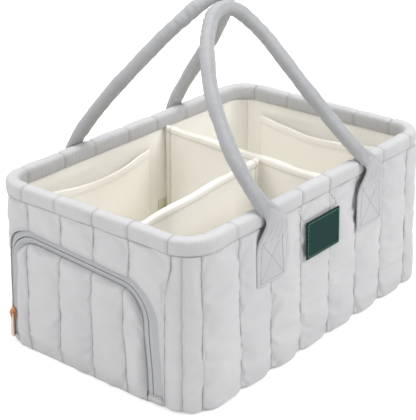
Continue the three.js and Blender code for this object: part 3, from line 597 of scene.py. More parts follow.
# %% Handing a finished piece over
def dress(piece, material, slot, *nodes):
    """Gives a finished piece its material and hides the nodes that it stands for. The slot is not used."""
    piece.data.materials.clear()
    piece.data.materials.append(material)
    if nodes:
        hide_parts(*nodes)
    print(piece.name, len(piece.data.vertices), "points")


def hand_over(piece, material, slot, body, *nodes):
    """Dresses a piece that rides whole on one body, and returns it."""
    dress(piece, material, slot, *nodes)
    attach(piece, body)
    return piece

# %% [markdown]
# ## Stitches
#
# Sewing thread shows as short raised dashes that dip into the cloth at both ends. One stitch is a small
# capsule: a cylinder primitive with bevelled ends. It is modelled once, and copies are laid end to end
# along a line with a gap between them.

# %% One stitch, copied along lines
stitch_length = 2.7 * mm
stitch_gap = 1.1 * mm
stitch_radius = 0.32 * mm
stitch_bevel = 0.55 * stitch_radius


def one_stitch():
    """The points and polygons of a single stitch, which lies along its own Z."""
    bpy.ops.mesh.primitive_cylinder_add(vertices=6, radius=stitch_radius, depth=stitch_length,
                                        end_fill_type="NGON")
    piece = bpy.context.object
    apply(piece, "BEVEL", width=stitch_bevel, segments=1, limit_method="ANGLE", angle_limit=math.radians(50))
    points = points_of(piece).copy()
    polygons = [tuple(face.vertices) for face in piece.data.polygons]
    bpy.data.objects.remove(piece)
    return points, polygons


stitch_points, stitch_polygons = one_stitch()


def read_along(distances, travelled, values):
    """The vectors found at distances along a line."""
    return np.stack([np.interp(distances, travelled, values[:, axis]) for axis in range(3)], -1)


def stitches(name, lines, scale=1.0):
    """Copies of the stitch along lines. Each line is points and the outward direction at each of them."""
    vertices, faces = [], []
    step = (stitch_length + stitch_gap) * scale
    for route, outward in lines:
        travelled = run_of(route)
        count = max(int(travelled[-1] // step), 1)
        middles = (np.arange(count) + 0.5) * travelled[-1] / count
        places = read_along(middles, travelled, route)
        ahead = read_along(middles + step / 4, travelled, route)
        behind = read_along(middles - step / 4, travelled, route)
        normals = read_along(middles, travelled, outward)
        for place, front, rear, normal in zip(places, ahead, behind, normals):
            along = (front - rear) / np.linalg.norm(front - rear)
            side = np.cross(along, normal)
            side /= np.linalg.norm(side)
            turn = np.stack([side, np.cross(along, side), along], 1)
            base = len(vertices) * len(stitch_points)
            vertices.append(stitch_points @ turn.T * scale + place)
            faces.extend(tuple(base + index for index in polygon) for polygon in stitch_polygons)
    mesh = bpy.data.meshes.new(name)
    mesh.from_pydata(np.concatenate(vertices).tolist(), [], faces)
    mesh.attributes.new("seam", "FLOAT", "POINT").data.foreach_set("value", np.ones(len(mesh.vertices)))
    piece = bpy.data.objects.new(name, mesh)
    bpy.context.scene.collection.objects.link(piece)
    edit_all(piece, turn_outward)
    smooth(piece)
    return piece


print("stitch:", len(stitch_polygons), "faces")

# %% [markdown]
# ## Quilted walls
#
# Each wall is a pad of wadding between two cloths, sewn through in upright channels. The four pads wrap
# the corners, roll under at the foot and meet in sewn joins. A laid grid gives the seams their exact
# lines. Then cloth simulation puffs the channels: the seams are pinned, air pressure pushes the cloth
# out, and a little extra cloth gathers beside the seams as it does on the real one. The push is capped,
# so that tabs and label still lie on top.

# %% Where the channels are
puff = 3.9 * mm
seam_wander = 0.8 * mm
foot_draw = 1.1 * mm
join_rise = 0.8 * mm
join_overlap = 0.8 * mm
narrow_puff = 20 * mm
long_pitch = 47 * mm
long_first_seam = -127 * mm
long_corner_seam = 14.7 * mm
end_pitch = 42.5 * mm
end_first_seam = -79 * mm
end_seam_count = 4
end_corner_seam = 5.2 * mm
half_span = {"front": 82 * mm, "back": 78 * mm}
tab_width = 44 * mm
tab_foot = 100 * mm
label_size = (55 * mm, 38.5 * mm)
label_middle = (-1.5 * mm, 119 * mm)
pocket_shift = -12.5 * mm


def seams_of(name):
    """Places of a wall's seams, with its two joins first and last."""
    wall = walls[name]
    if name in ("front", "back"):
        inner = list(np.arange(long_first_seam, wall["straight"], long_pitch))
        inner.insert(0, -wall["straight"] - long_corner_seam)
    else:
        inner = [end_first_seam + index * end_pitch for index in range(end_seam_count)]
        inner.append(wall["straight"] + end_corner_seam)
    return [wall["start"], *inner, wall["end"]]


def channel_columns(seams, spacing, crowding=0.65):
    """Places along a wall, closer together by the seams."""
    places = []
    for start, end in zip(seams, seams[1:]):
        count = max(int(round((end - start) / spacing)), 4)
        share = np.arange(count) / count
        share = share - crowding * np.sin(2 * np.pi * share) / (2 * np.pi)
        places.extend(start + (end - start) * share)
    return np.array([*places, seams[-1]])


def channel_fill(along, seams, roundness=0.62):
    """How full a channel is at each place, from 0 at a seam to 1."""
    index = np.clip(np.searchsorted(seams, along, side="right") - 1, 0, len(seams) - 2)
    edges = np.array(seams)
    start, end = edges[index], edges[index + 1]
    share = np.clip((along - start) / (end - start), 0, 1)
    return np.minimum((end - start) / narrow_puff, 1) * np.sin(np.pi * share) ** roundness


def seam_distance(along, seams):
    """How far each place is from the nearest of the seams."""
    return np.min([np.abs(along - seam) for seam in seams], axis=0)


def wall_rows(spacing):
    """Rows from the underside round the hem and up to the rim: offset, height and the back's height."""
    turn = np.linspace(0, np.pi / 2, 6)
    under = np.linspace(hem_start, flare - hem_radius, 3)[:-1]
    upright = np.linspace(hem_radius, wall_top - spacing, int((wall_top - hem_radius) / spacing))[1:]
    upright = np.concatenate([upright, wall_top - spacing * np.array([0.6, 0.3, 0])])
    offset = np.concatenate([under, flare - hem_radius + hem_radius * np.sin(turn), swell(upright)])
    height = np.concatenate([0 * under, hem_radius * (1 - np.cos(turn)), upright])
    share = turn / (np.pi / 2)
    inner_hem = base_padding + (hem_radius - base_padding) * share
    inner = np.concatenate([base_padding + 0 * under, inner_hem, upright])
    return offset, height, inner


def rectangle_mask(along, height, middle, size, soft=5 * mm):
    """1 inside a rectangle on the wall, fading to 0 over a soft border."""
    across = smooth_step(size[0] / 2 + soft - np.abs(along - middle[0]), 0, soft)
    upward = smooth_step(size[1] / 2 + soft - np.abs(height - middle[1]), 0, soft)
    return across * upward


def pressed(name, along, height):
    """How much a tab or the label presses the puffs of a wall flat."""
    mask = np.zeros(np.broadcast(along, height).shape)
    if name in half_span:
        tab = (tab_width, wall_top - tab_foot)
        for side in (-1, 1):
            middle = (side * half_span[name], (wall_top + tab_foot) / 2)
            mask = np.maximum(mask, rectangle_mask(along, height, middle, tab))
    if name == "front":
        mask = np.maximum(mask, rectangle_mask(along, height, label_middle, label_size))
    return mask


print("seams on a long wall:", len(seams_of("front")) - 2)

# %% The zip pocket's arch
zip_half = 91.5 * mm
zip_top = 123 * mm
zip_corner = 33 * mm
zip_foot = 11 * mm
opening_half = 99.5 * mm
opening_top = 128.5 * mm
opening_corner = 38 * mm
opening_foot = 6.7 * mm
edge_shift = 1.5 * mm


def arch_outline(half, top, corner, foot, leg_steps=24, corner_steps=14, top_steps=30):
    """Points along the pocket's wall and up: one leg, the corners and the top, and down the other leg."""
    turn = np.linspace(0, np.pi / 2, corner_steps + 1)
    right = np.stack([half - corner + corner * np.cos(turn), top - corner + corner * np.sin(turn)], -1)
    leg = np.stack([np.full(leg_steps, half), np.linspace(foot, top - corner, leg_steps, endpoint=False)], -1)
    span = np.stack([np.linspace(half - corner, 0, top_steps // 2 + 1)[1:], np.full(top_steps // 2, top)], -1)
    right = np.concatenate([leg, right, span])
    left = right[:-1][::-1] * [-1, 1]
    return np.concatenate([right, left]) + [pocket_shift, 0]


def outside_arch(along, height, half, top, corner):
    """Distance outside an arch that stands on the floor, negative inside it."""
    across = np.abs(along - pocket_shift) - (half - corner)
    above = height - (top - corner)
    both = np.hypot(np.maximum(across, 0), np.maximum(above, 0)) - corner
    return np.where((across > 0) & (above > 0), both, np.maximum(across, above) - corner)

# %% How the arch has settled
arch_sag = 12 * mm
arch_lift = 1.5 * mm
arch_lean = 6 * mm
seam_bow = 6 * mm


def sagged(along, height):
    """Where a point of the arch lies now that the wall has settled: lower and leaning by the front corner."""
    across = along - pocket_shift
    share = np.clip((across + zip_half) / (2 * zip_half), 0, 1)
    leaning = smooth_step(across, -20 * mm, zip_half) * smooth_step(height, 8 * mm, 95 * mm)
    risen = smooth_step(height, 20 * mm, 110 * mm)
    return along - arch_lean * leaning, height - (arch_sag * share - arch_lift) * risen


def unsagged(along, height):
    """Where a point of the settled arch lay before, near enough for masks."""
    moved_along, moved_height = sagged(along, height)
    return 2 * along - moved_along, 2 * height - moved_height

# %% Puffing with cloth simulation
cloth_settings = {
    "quality": 6,
    "mass": 0.15,
    "tension_stiffness": 12,
    "compression_stiffness": 12,
    "shear_stiffness": 4,
    "bending_stiffness": 0.25,
    "air_damping": 3,
    "use_pressure": True,
    "vertex_group_mass": "pinned",
    "pin_stiffness": 1,
}


def puffed(piece, pinned, pressure, growth, cap, frames=20):
    """Blows up a laid cloth with its seams pinned, and caps how far each point moves."""
    start = points_of(piece).copy()
    group = piece.vertex_groups.new(name="pinned")
    group.add([int(index) for index in np.flatnonzero(pinned)], 1.0, "REPLACE")
    modifier = piece.modifiers.new("Cloth", "CLOTH")
    chosen = {**cloth_settings, "uniform_pressure_force": pressure, "shrink_min": -growth}
    for key, value in chosen.items():
        setattr(modifier.settings, key, value)
    modifier.settings.effector_weights.gravity = 0
    modifier.collision_settings.use_collision = False
    modifier.collision_settings.use_self_collision = False
    modifier.point_cache.frame_start = 1
    modifier.point_cache.frame_end = frames
    scene = bpy.context.scene
    for frame_number in range(1, frames + 1):
        scene.frame_set(frame_number)
    graph = bpy.context.evaluated_depsgraph_get()
    shaped = piece.evaluated_get(graph)
    moved = np.empty(len(shaped.data.vertices) * 3)
    shaped.data.vertices.foreach_get("co", moved)
    piece.modifiers.remove(modifier)
    piece.vertex_groups.clear()
    scene.frame_set(1)
    move = moved.reshape(-1, 3) - start
    length = np.linalg.norm(move, axis=1, keepdims=True)
    move *= np.minimum(1, cap / np.maximum(length, 1e-9))
    print(piece.name, "puffed by up to", round(float(length.max()) * 1000, 1), "mm")
    return start + move


def limit_offset(points, base, outward, most):
    """Keeps points within a distance outside the base surface."""
    out = np.sum((points - base) * outward, -1)
    return points - outward * np.maximum(out - most, 0)[..., None]


def laid_order(grid):
    """A laid array in the order of the grid primitive's points."""
    return np.swapaxes(grid, 0, 1).reshape(-1, *grid.shape[2:])

# %% How a wall's cloth lies
wander_size, wander_fade = 70 * mm, 25 * mm
join_width = 2.5 * mm
bow_width, bow_low, bow_high = 8 * mm, 108 * mm, 150 * mm
draw_width, draw_height = 7 * mm, 26 * mm
foot_fill = 0.55
rim_flattening, rim_flat_height = 0.55, 3 * mm
pressed_share = 0.35
start_share = 0.8
zip_painted_shade, zip_painted_shade_width = 0.35, 3 * mm
pin_width, zip_pin_width = 0.05 * mm, 2 * mm
puff_growth = 0.04
puff_pressure = 5.0
puff_move = 5 * mm
puff_cap, pressed_less = 5.4 * mm, 2.1 * mm
wave_size, wave_height = 30 * mm, 0.28 * mm
gather_size, gather_width, gather_height = 9 * mm, 7 * mm, 0.4 * mm
arch_gather_size, arch_gather_fade, arch_gather_height = 7 * mm, 5 * mm, 0.6 * mm


def settled_along(name, seams, along, height, from_joins):
    """Where the cloth lies along its wall: seams wander, joins overlap, and one seam bows beside the zip."""
    seed = 51 + list(walls).index(name)
    held = smooth_step(from_joins, 0, wander_fade)
    wander = seam_wander * soft_waves(along, height, wander_size, seed, 0.7) * held
    laid = along + wander + join_overlap * fade(from_joins, join_width) * np.sign(along)
    if name == "pocket_end":
        beside = fade(along - seams[-2], bow_width) * smooth_step(from_joins, 0, bow_width)
        laid = laid - seam_bow * beside * (1 - smooth_step(height, bow_low, bow_high))
    return laid


def from_opening(name, laid_along, height):
    """How far outside the zip pocket's opening each place is: 1 metre on a wall that has none."""
    if name != "pocket_end":
        return np.full(laid_along.shape, 1.0)
    arch_along, arch_height = unsagged(laid_along, height)
    half = opening_half + edge_shift
    return outside_arch(arch_along - edge_shift, arch_height, half, opening_top, opening_corner)


def channel_fullness(name, filled, along, height, edge):
    """How far the channels stand out: less by the rim, at the foot, under tabs and label, and by the zip."""
    by_rim = smooth_step(height, wall_top - rim_flat_height, wall_top)
    fullness = filled * (1 - rim_flattening * by_rim)
    fullness = fullness * (foot_fill + (1 - foot_fill) * smooth_step(height, 0, hem_radius))
    fullness = fullness * (1 - pressed_share * pressed(name, along, height))
    return fullness * smooth_step(edge, -2 * mm, 8 * mm) ** 0.6


def wall_ripples(name, filled, along, height, distance, edge):
    """Soft waves over the channels, and small gathers beside the seams and round the zip."""
    seed = 11 + list(walls).index(name)
    wave = soft_waves(along, height, wave_size, seed, 2.6) * wave_height * filled
    by_seam = np.exp(-distance / gather_width) * gather_height
    gather = soft_waves(along, height, gather_size, seed + 20, 0.6) * by_seam
    by_arch = np.exp(-np.maximum(edge - arch_gather_fade, 0) / arch_gather_fade)
    arch_gather = soft_waves(along, height, arch_gather_size, seed + 60, 2.0) * by_arch
    off_the_arch = arch_gather_height * (edge > 3 * mm) * filled
    return wave + gather * (distance > 0.3 * mm) + arch_gather * off_the_arch


print("channels stand out by up to", round(puff_cap / mm, 1), "mm")

# %% Sewing the four walls
def quilted_wall(name, spacing):
    """One quilted pad: laid, puffed between its seams, capped, rippled and given its back."""
    wall = walls[name]
    seams = seams_of(name)
    along = channel_columns(seams, spacing)
    offset, height, inner_height = wall_rows(spacing)
    grid_along, grid_offset = grid_of(along, offset)
    grid_height = grid_of(along, height)[1]
    from_joins = np.minimum(grid_along - wall["start"], wall["end"] - grid_along)
    laid_along = settled_along(name, seams, grid_along, grid_height, from_joins)
    distance = seam_distance(grid_along, seams)
    near_foot = 1 - smooth_step(grid_height, 0, draw_height)
    pull = fade(distance, draw_width) * near_foot
    edge = from_opening(name, laid_along, grid_height)
    filled = channel_fill(grid_along, seams)
    fullness = channel_fullness(name, filled, grid_along, grid_height, edge)
    joined_edge = join_rise * fade(from_joins, join_width) * smooth_step(grid_height, 0, hem_radius)
    start_offset = grid_offset + puff * start_share * fullness + joined_edge - foot_draw * pull
    start = on_wall(wall, laid_along, start_offset, grid_height + foot_draw * pull)
    travelled = np.concatenate([[0], np.cumsum(np.hypot(np.diff(offset), np.diff(height)))])
    places = np.stack(grid_of(along, travelled), -1)
    # Painted shade on the wall's cloth beside the pocket's opening, where its edge turns in over the zip.
    painted_shade_by_zip = zip_painted_shade * fade(np.maximum(edge, 0), zip_painted_shade_width)
    piece = shaped_grid(f"{name}_quilted_wall", start, places, distance, painted_shade_by_zip)
    pinned = (distance < pin_width) | (edge < zip_pin_width)
    pinned[[0, -1], :] = True
    pinned[:, [0, -1]] = True
    shaped = puffed(piece, laid_order(pinned), puff_pressure, puff_growth, puff_move)
    base = laid_order(on_wall(wall, laid_along, grid_offset, grid_height))
    outward = unit(laid_order(on_wall(wall, laid_along, grid_offset + 1 * mm, grid_height)) - base)
    most = laid_order(puff_cap - pressed_less * pressed(name, grid_along, grid_height))
    shaped = limit_offset(shaped, base, outward, most)
    ripples = wall_ripples(name, filled, grid_along, grid_height, distance, edge)
    shaped = shaped + outward * laid_order(ripples)[:, None]
    shaped[:, 2] = np.maximum(shaped[:, 2], 0)
    put_points(piece, shaped)
    inner = on_wall(wall, laid_along, -wadding, grid_of(along, inner_height)[1])
    give_back(piece, inner, rounding=1)
    return piece


wall_pieces = {}
for wall_name in walls:
    wall_pieces[wall_name] = quilted_wall(wall_name, spacing=3.0 * mm)

# %% Cutting the pocket's opening
def arch_columns(half, corner, spacing=3 * mm, turns=14):
    """Places across an arch, in step with its rounded corners."""
    flat = np.linspace(0, half - corner, int((half - corner) / spacing) + 1)[:-1]
    right = np.concatenate([flat, half - corner + corner * np.sin(np.linspace(0, np.pi / 2, turns))])
    return np.concatenate([-right[:0:-1], right])


def rounded_reach(across, half, top, corner):
    """How far an outline with rounded corners reaches, at each place across it: an arch's height, for one."""
    past = np.maximum(np.abs(across) - (half - corner), 0)
    return top - corner + np.sqrt(np.maximum(corner**2 - past**2, 0))


def arch_slab(name, half, top, corner, foot, outer, inner):
    """A thick sheet with the arch's outline that follows the pocket's wall round its corner."""
    across = arch_columns(half, corner)
    grid_across, share = grid_of(across, np.linspace(0, 1, 12))
    height = foot + (rounded_reach(across, half, top, corner)[:, None] - foot) * share
    along, height = sagged(grid_across + pocket_shift + edge_shift, height)
    front = on_wall(walls["pocket_end"], along, outer, height)
    piece = shaped_grid(name, front, np.stack([along, height], -1))
    give_back(piece, on_wall(walls["pocket_end"], along, inner, height))
    return piece


opening_cutter = arch_slab("opening_cutter", opening_half + edge_shift, opening_top, opening_corner,
                           opening_foot, flare + 15 * mm, -wadding - 2 * mm)
apply(wall_pieces["pocket_end"], "BOOLEAN", operation="DIFFERENCE", object=opening_cutter, solver="EXACT")
bpy.data.objects.remove(opening_cutter)
smooth(wall_pieces["pocket_end"])

for wall_name, piece in wall_pieces.items():
    hand_over(piece, outer_cloth, "outer_cloth", "tub", f"{wall_name}_quilted_panel")

# %% [markdown]
# ## The base
#
# The underside is a thin quilted pad that lies flat on whatever the caddy stands on. It is a grid as wide
# as the base at every column, so its corners come out round. Its seams are drawn up into shallow grooves.

# %% Base pad
base_crowding = 0.12
groove_depth, groove_width = 1.1 * mm, 4 * mm
base_edge_rise, base_edge_width = 0.8 * mm, 3 * mm


def base_pad():
    """The underside's pad. Its outline is the base's, with columns closer together by the ends."""
    half_length = tub_length / 2 + board_face
    half_width = tub_width / 2 + board_face
    corner = corner_radius + board_face
    share = np.linspace(-1, 1, 97)
    x = half_length * (share + base_crowding * np.sin(np.pi * share) / np.pi * 2)
    x[0], x[-1] = -half_length, half_length
    most = rounded_reach(x, half_length, half_width, corner)
    y_share = np.linspace(-1, 1, 65)
    grid_x, grid_share = grid_of(x, y_share)
    grid_y = grid_share * most[:, None]
    seams = np.arange(long_first_seam, half_length, long_pitch)
    distance = seam_distance(grid_x, list(seams))
    groove = groove_depth * fade(distance, groove_width)
    from_outline = np.minimum(half_width - np.abs(grid_y), half_length - np.abs(grid_x))
    edge = base_edge_rise * fade(from_outline, base_edge_width)
    bottom = np.stack([grid_x, -grid_y, np.maximum(groove, edge)], -1)
    places = np.stack([grid_x, grid_y], -1)
    piece = shaped_grid("base_pad", bottom, places, distance)
    inner = np.stack([grid_x, -grid_y, np.full(grid_x.shape, base_padding)], -1)
    give_back(piece, inner)
    return piece


base_piece = hand_over(base_pad(), outer_cloth, "outer_cloth", "tub", "base_quilted_panel")

# %% [markdown]
# ## The padded rim
#
# A strip of the same cloth is rolled over a foam cord and sewn down on both faces of the wall. It runs
# all the way round in one ring. The stitching draws the cloth into fine gathers, and the quilting shows
# through as pinches. Its colour takes a little painted shade all round, and more on its inner side.

# %% Rim roll
rim_radius = 7 * mm
rim_shell = 1.2 * mm
rim_slot = 6 * mm
rim_squareness = {"low": 0.46, "high": 0.6}
rim_taller = 1.2 * mm
rim_centre = room_face / 2
rim_height = wall_height + math.sqrt(rim_radius**2 - (rim_slot / 2) ** 2) + rim_taller
rim_shifts = np.array([-6, -5, 0, 0.5, -2, 2.5, -1, 3]) * mm
rim_step = 1.3 * mm
stitch_angle = 0.95
rim_inner_from, rim_inner_to = 0.95 * np.pi, 1.35 * np.pi
pinch_depth, pinch_width = 1.3 * mm, 1.8 * mm
pinch_from, pinch_to = 0.7, 1.6
rim_gather_pitch = 4.2 * mm
rim_gather_outside, rim_gather_more_inside = 0.12, 0.28
rim_patch_size, rim_patch_least = 60 * mm, 0.3
rim_lump_size, rim_lump_height = 34 * mm, 0.3 * mm
rim_painted_shade, rim_more_painted_shade_inside = 0.2, 0.3


def round_the_tub(spacing):
    """Every wall with its next corner, as wall names, places along them and metres travelled."""
    names, along, travelled, done = [], [], [], 0
    for name in walls:
        straight = walls[name]["straight"]
        run = 2 * straight + quarter_turn
        count = int(round(run / spacing))
        names += [name] * count
        along.append(-straight + run * np.arange(count) / count)
        travelled.append(done + run * np.arange(count) / count)
        done += run
    return np.array(names), np.concatenate(along), np.concatenate(travelled), done


def ring_on_walls(names, along, offset, height):
    """Points for rows of offsets and heights at each place round the tub."""
    points = np.empty((*offset.shape, 3))
    for name in walls:
        here = names == name
        points[here] = on_wall(walls[name], along[here, None], offset[here], height[here])
    return points


def rim_seam_distance(names, along):
    """Distance to the nearest quilting seam, which runs on over the rim a little beside the wall's."""
    distance = np.full(along.shape, 1.0)
    for name in walls:
        here = names == name
        for seam, shift in zip(seams_of(name)[1:-1], rim_shifts):
            distance[here] = np.minimum(distance[here], np.abs(along[here] - seam - shift))
    return distance


def rim_section(angle, radius):
    """Offset and height of the rim's section: a soft rounded square, open where it takes in the wall."""
    power = np.where(np.cos(angle) > 0, rim_squareness["low"], rim_squareness["high"])
    across = np.sign(np.sin(angle)) * np.abs(np.sin(angle)) ** power
    upward = -np.sign(np.cos(angle)) * np.abs(np.cos(angle)) ** power
    return rim_centre + radius * across, rim_height + (radius + rim_taller) * upward


ring_start = on_wall(walls["front"], -walls["front"]["straight"], 0.0, 0.0)


def is_ring_end(face):
    """True for the two strips that close the grid's ends, where the ring starts."""
    return all(abs(vertex.co.x - ring_start[0]) < fine_gap for vertex in face.verts)


def rim_roll():
    """The closed ring of padded cloth. Its section's angle starts underneath and runs up the outside."""
    names, along, travelled, whole = round_the_tub(rim_step)
    opening = math.asin(rim_slot / 2 / rim_radius)
    angle = opening + np.linspace(0, 1, 29) * 2 * (math.pi - opening)
    distance = rim_seam_distance(names, along)
    u, v = grid_of(travelled, angle * rim_radius)
    inside = smooth_step(angle, rim_inner_from, rim_inner_to)[None, :]
    patches = smooth_step(soft_waves(u, v, rim_patch_size, 5), -0.4, 0.8)
    patchy = rim_patch_least + (1 - rim_patch_least) * patches
    pleats = round(whole / rim_gather_pitch)
    gather = np.sin(2 * np.pi * u * pleats / whole + 0.8 * soft_waves(u, v, 30 * mm, 7)) * patchy
    gather_height = (rim_gather_outside + rim_gather_more_inside * inside) * mm
    lumps = soft_waves(u, v, rim_lump_size, 6) * rim_lump_height
    held = smooth_step(np.minimum(angle - opening, 2 * np.pi - opening - angle), 0, 0.5)[None, :]
    pinch = fade(distance, pinch_width)[:, None]
    pinch = pinch_depth * pinch * smooth_step(angle, pinch_from, pinch_to)[None, :]
    radius = rim_radius + (lumps + gather_height * gather - pinch) * held
    outer = ring_on_walls(names, along, *rim_section(angle, radius))
    inner = ring_on_walls(names, along, *rim_section(angle, rim_radius - rim_shell + 0 * radius))
    around = np.concatenate([outer, outer[:1]], 0)
    inner = np.concatenate([inner, inner[:1]], 0)
    distance = np.append(distance, distance[0])[:, None] + 0 * angle
    travelled = np.append(travelled, whole)
    places = np.stack(grid_of(travelled, angle * rim_radius), -1)
    # Painted shade: a little all round the roll, to tone down its brightly lit top, and more on its inner
    # side, which lies out of the light.
    piece = shaped_grid("rim_roll", around, places, distance, rim_painted_shade + rim_more_painted_shade_inside * inside)
    front = points_of(piece).copy()
    apply(piece, "SOLIDIFY", thickness=1 * mm, offset=-1)
    put_points(piece, np.concatenate([front, laid_order(inner)]))
    shape = bmesh.new()
    shape.from_mesh(piece.data)
    ends = [face for face in shape.faces if is_ring_end(face)]
    bmesh.ops.delete(shape, geom=ends, context="FACES_ONLY")
    bmesh.ops.remove_doubles(shape, verts=shape.verts, dist=merge_gap)
    bmesh.ops.recalc_face_normals(shape, faces=shape.faces)
    shape.to_mesh(piece.data)
    shape.free()
    smooth(piece)
    return piece


def rim_stitches():
    """The line that holds the binding down, just above its lower edge."""
    names, along, _, _ = round_the_tub(2 * mm)
    angle = np.array([stitch_angle])
    offset, height = rim_section(angle, rim_radius + np.zeros((len(along), 1)))
    line = ring_on_walls(names, along, offset, height)[:, 0]
    outward = ring_on_walls(names, along, offset + 1 * mm, height)[:, 0] - line
    line = np.concatenate([line, line[:1]])
    outward = np.concatenate([outward, outward[:1]])
    return stitches("rim_stitches", [(line, outward)], scale=0.75)


rim_piece = hand_over(rim_roll(), outer_cloth, "outer_cloth", "tub", "rim_binding")
hand_over(rim_stitches(), thread_cloth, "outer_cloth", "tub")

# %% [markdown]
# ## Handles
#
# A handle is a long tube of cloth over a soft cord. It stands by itself, leans in over the tub and is
# flattened at both feet, where it is sewn to the wall. The tube is a rolled grid along the frame's own
# curve. Pleats gather on its two sides round the crown, and a sewn seam runs along its inner side.

# %% The handles' curve
handle_radius = 7 * mm
strap_width = 24 * mm
strap_thickness = 5 * mm
strap_run = 34 * mm
handle_reach = tub_width / 2 + 8 * mm
hinge_height = 160 * mm
handle_lift = 24 * mm
lean_share = 0.6
sway_share = 0.2
crown_rise = 161 * mm
handle_shapes = {
    "front": {"half_span": half_span["front"], "short": 8 * mm, "rise": crown_rise,
              "sag": -22 * mm, "drift": -7.5 * mm},
    "back": {"half_span": half_span["back"], "short": 4.5 * mm, "rise": crown_rise + 10 * mm,
             "sag": 2.5 * mm, "drift": -1.5 * mm},
}


def handle_route(shape, angle):
    """Centres and outward normals of the handle's tube, seen with its own Y pointing in over the tub."""
    height = np.sin(angle)
    reach_in = handle_reach - shape["short"]
    crown = np.array([reach_in, shape["rise"]])
    knots = np.array([[0, 0], [0, handle_lift], crown * lean_share, crown])
    share = height[:, None]
    place = ((1 - share) ** 3 * knots[0] + 3 * (1 - share) ** 2 * share * knots[1]
             + 3 * (1 - share) * share**2 * knots[2] + share**3 * knots[3])
    heading = unit(3 * (1 - share) ** 2 * (knots[1] - knots[0])
                   + 6 * (1 - share) * share * (knots[2] - knots[1]) + 3 * share**2 * (knots[3] - knots[2]))
    sway = np.sin(np.pi * height) * smooth_step(height, 0, sway_share)
    x = shape["half_span"] * np.cos(angle) + shape["drift"] * height + shape["sag"] * sway
    centre = np.stack([x, place[:, 0], place[:, 1]], -1)
    normal = np.stack([0 * x, heading[:, 1], -heading[:, 0]], -1)
    return centre, normal


def handle_frame(shape, steps):
    """Even steps along the whole handle: centre, normal, across, half thickness, half width, how round it is,
    and metres travelled."""
    fine = np.linspace(0, np.pi, 1601)
    fine_travelled = run_of(handle_route(shape, fine)[0])
    whole = fine_travelled[-1]
    travelled = np.linspace(0, whole, steps + 1)
    angle = np.interp(travelled, fine_travelled, fine)
    centre, normal = handle_route(shape, angle)
    across = unit(np.cross(unit(np.gradient(centre, axis=0)), normal))
    share = smooth_step(np.minimum(travelled, whole - travelled), strap_thickness, strap_run)[:, None]
    level = np.stack([np.where(angle < np.pi / 2, -1.0, 1.0), 0 * angle, 0 * angle], -1)
    across = unit(level * (1 - share) + across * share)
    thick = strap_thickness / 2 + (handle_radius - strap_thickness / 2) * share
    wide = strap_width / 2 + (handle_radius - strap_width / 2) * share
    return centre, normal, across, thick, wide, share, travelled


def to_world(name, points):
    """From the handle's own place to the tub's, turned round for the back handle."""
    placed = points + np.array([0, -handle_reach, hinge_height])
    return placed * [-1, -1, 1] if name == "back" else placed


strap_squareness = 0.6
crown_half = 115 * mm
crease_size, crease_height, crown_crease_height = 9 * mm, 0.14 * mm, 0.22 * mm
pleat_pitch, pleat_height = 7 * mm, 0.36 * mm
handle_lump_size, handle_lump_height = 40 * mm, 0.4 * mm
seam_groove, seam_groove_width = 0.55 * mm, 1.1 * mm


def handle_tube(name, steps=440, sides=32):
    """A handle's whole cover, from strap to tube to strap, with creases, pleats and its seam."""
    shape = handle_shapes[name]
    centre, normal, across, thick, wide, share, travelled = handle_frame(shape, steps)
    turn = (np.arange(sides) + 0.5) / sides * 2 * np.pi
    squareness = strap_squareness + (1 - strap_squareness) * share
    u, v = grid_of(travelled, turn * handle_radius)
    crown = fade(u - travelled[-1] / 2, crown_half)
    creases = soft_waves(u, v, crease_size, 31, 3.0) * (crease_height + crown_crease_height * crown)
    on_sides = np.cos(turn)[None, :] ** 4
    pleats = np.sin(2 * np.pi * u / pleat_pitch + 3.5 * soft_waves(u, v, 30 * mm, 34))
    pleats = pleats * pleat_height * crown**2 * on_sides
    lumps = soft_waves(u, v, handle_lump_size, 32) * handle_lump_height + pleats
    seam_side = -np.pi / 2
    from_seam = np.abs((turn - seam_side + np.pi) % (2 * np.pi) - np.pi) * handle_radius
    radial = creases + lumps - seam_groove * fade(from_seam, seam_groove_width)
    side_wave = np.sign(np.cos(turn)) * np.abs(np.cos(turn)) ** squareness
    face_wave = np.sign(np.sin(turn)) * np.abs(np.sin(turn)) ** squareness
    rings = (centre[:, None, :] + across[:, None, :] * (side_wave * wide + np.cos(turn) * radial)[..., None]
             + normal[:, None, :] * (face_wave * thick + np.sin(turn) * radial)[..., None])
    all_round = np.append(turn, turn[0] + 2 * np.pi) * handle_radius
    places = np.stack(grid_of(travelled, all_round), -1)[..., ::-1]
    distance = np.append(from_seam, from_seam[0])[None, :] + 0 * travelled[:, None]
    return closed_tube(f"{name}_handle_tube", to_world(name, rings), places, distance)


handle_bodies = {"front": "front_handle", "back": "back_handle"}
for name, body in handle_bodies.items():
    tube = handle_tube(name)
    dress(tube, handle_cloth, "handle_cloth", body)
    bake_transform(tube)

# %% [markdown]
# ## Handle tabs
#
# Below the rim each foot of a handle opens out into a flat tab, sewn down with a box and a cross. Its
# upper end is gathered round the tube. Each tab is a lofted strap whose sections go from a wide flat
# rectangle at the foot to a sleeve round the handle, so it follows the handle's bend at the rim.

# %% Tabs that gather into the handles
tab_thickness = 2.5 * mm
tab_waist = 136 * mm
puff_crown = 3.5 * mm
crown_face = puff_crown + clearance
tab_neck = 168 * mm
tab_settled = 160 * mm
tab_shoulder = tab_waist + 6 * mm
tab_over_handle = 0.9 * mm
tab_gather_turn, tab_gather_height = 4.5 * np.pi, 0.9 * mm
sleeve_length = 20 * mm
tab_lean = {"front": 4 * mm, "back": 0}
box_inset, box_narrowing = 4 * mm, 3 * mm


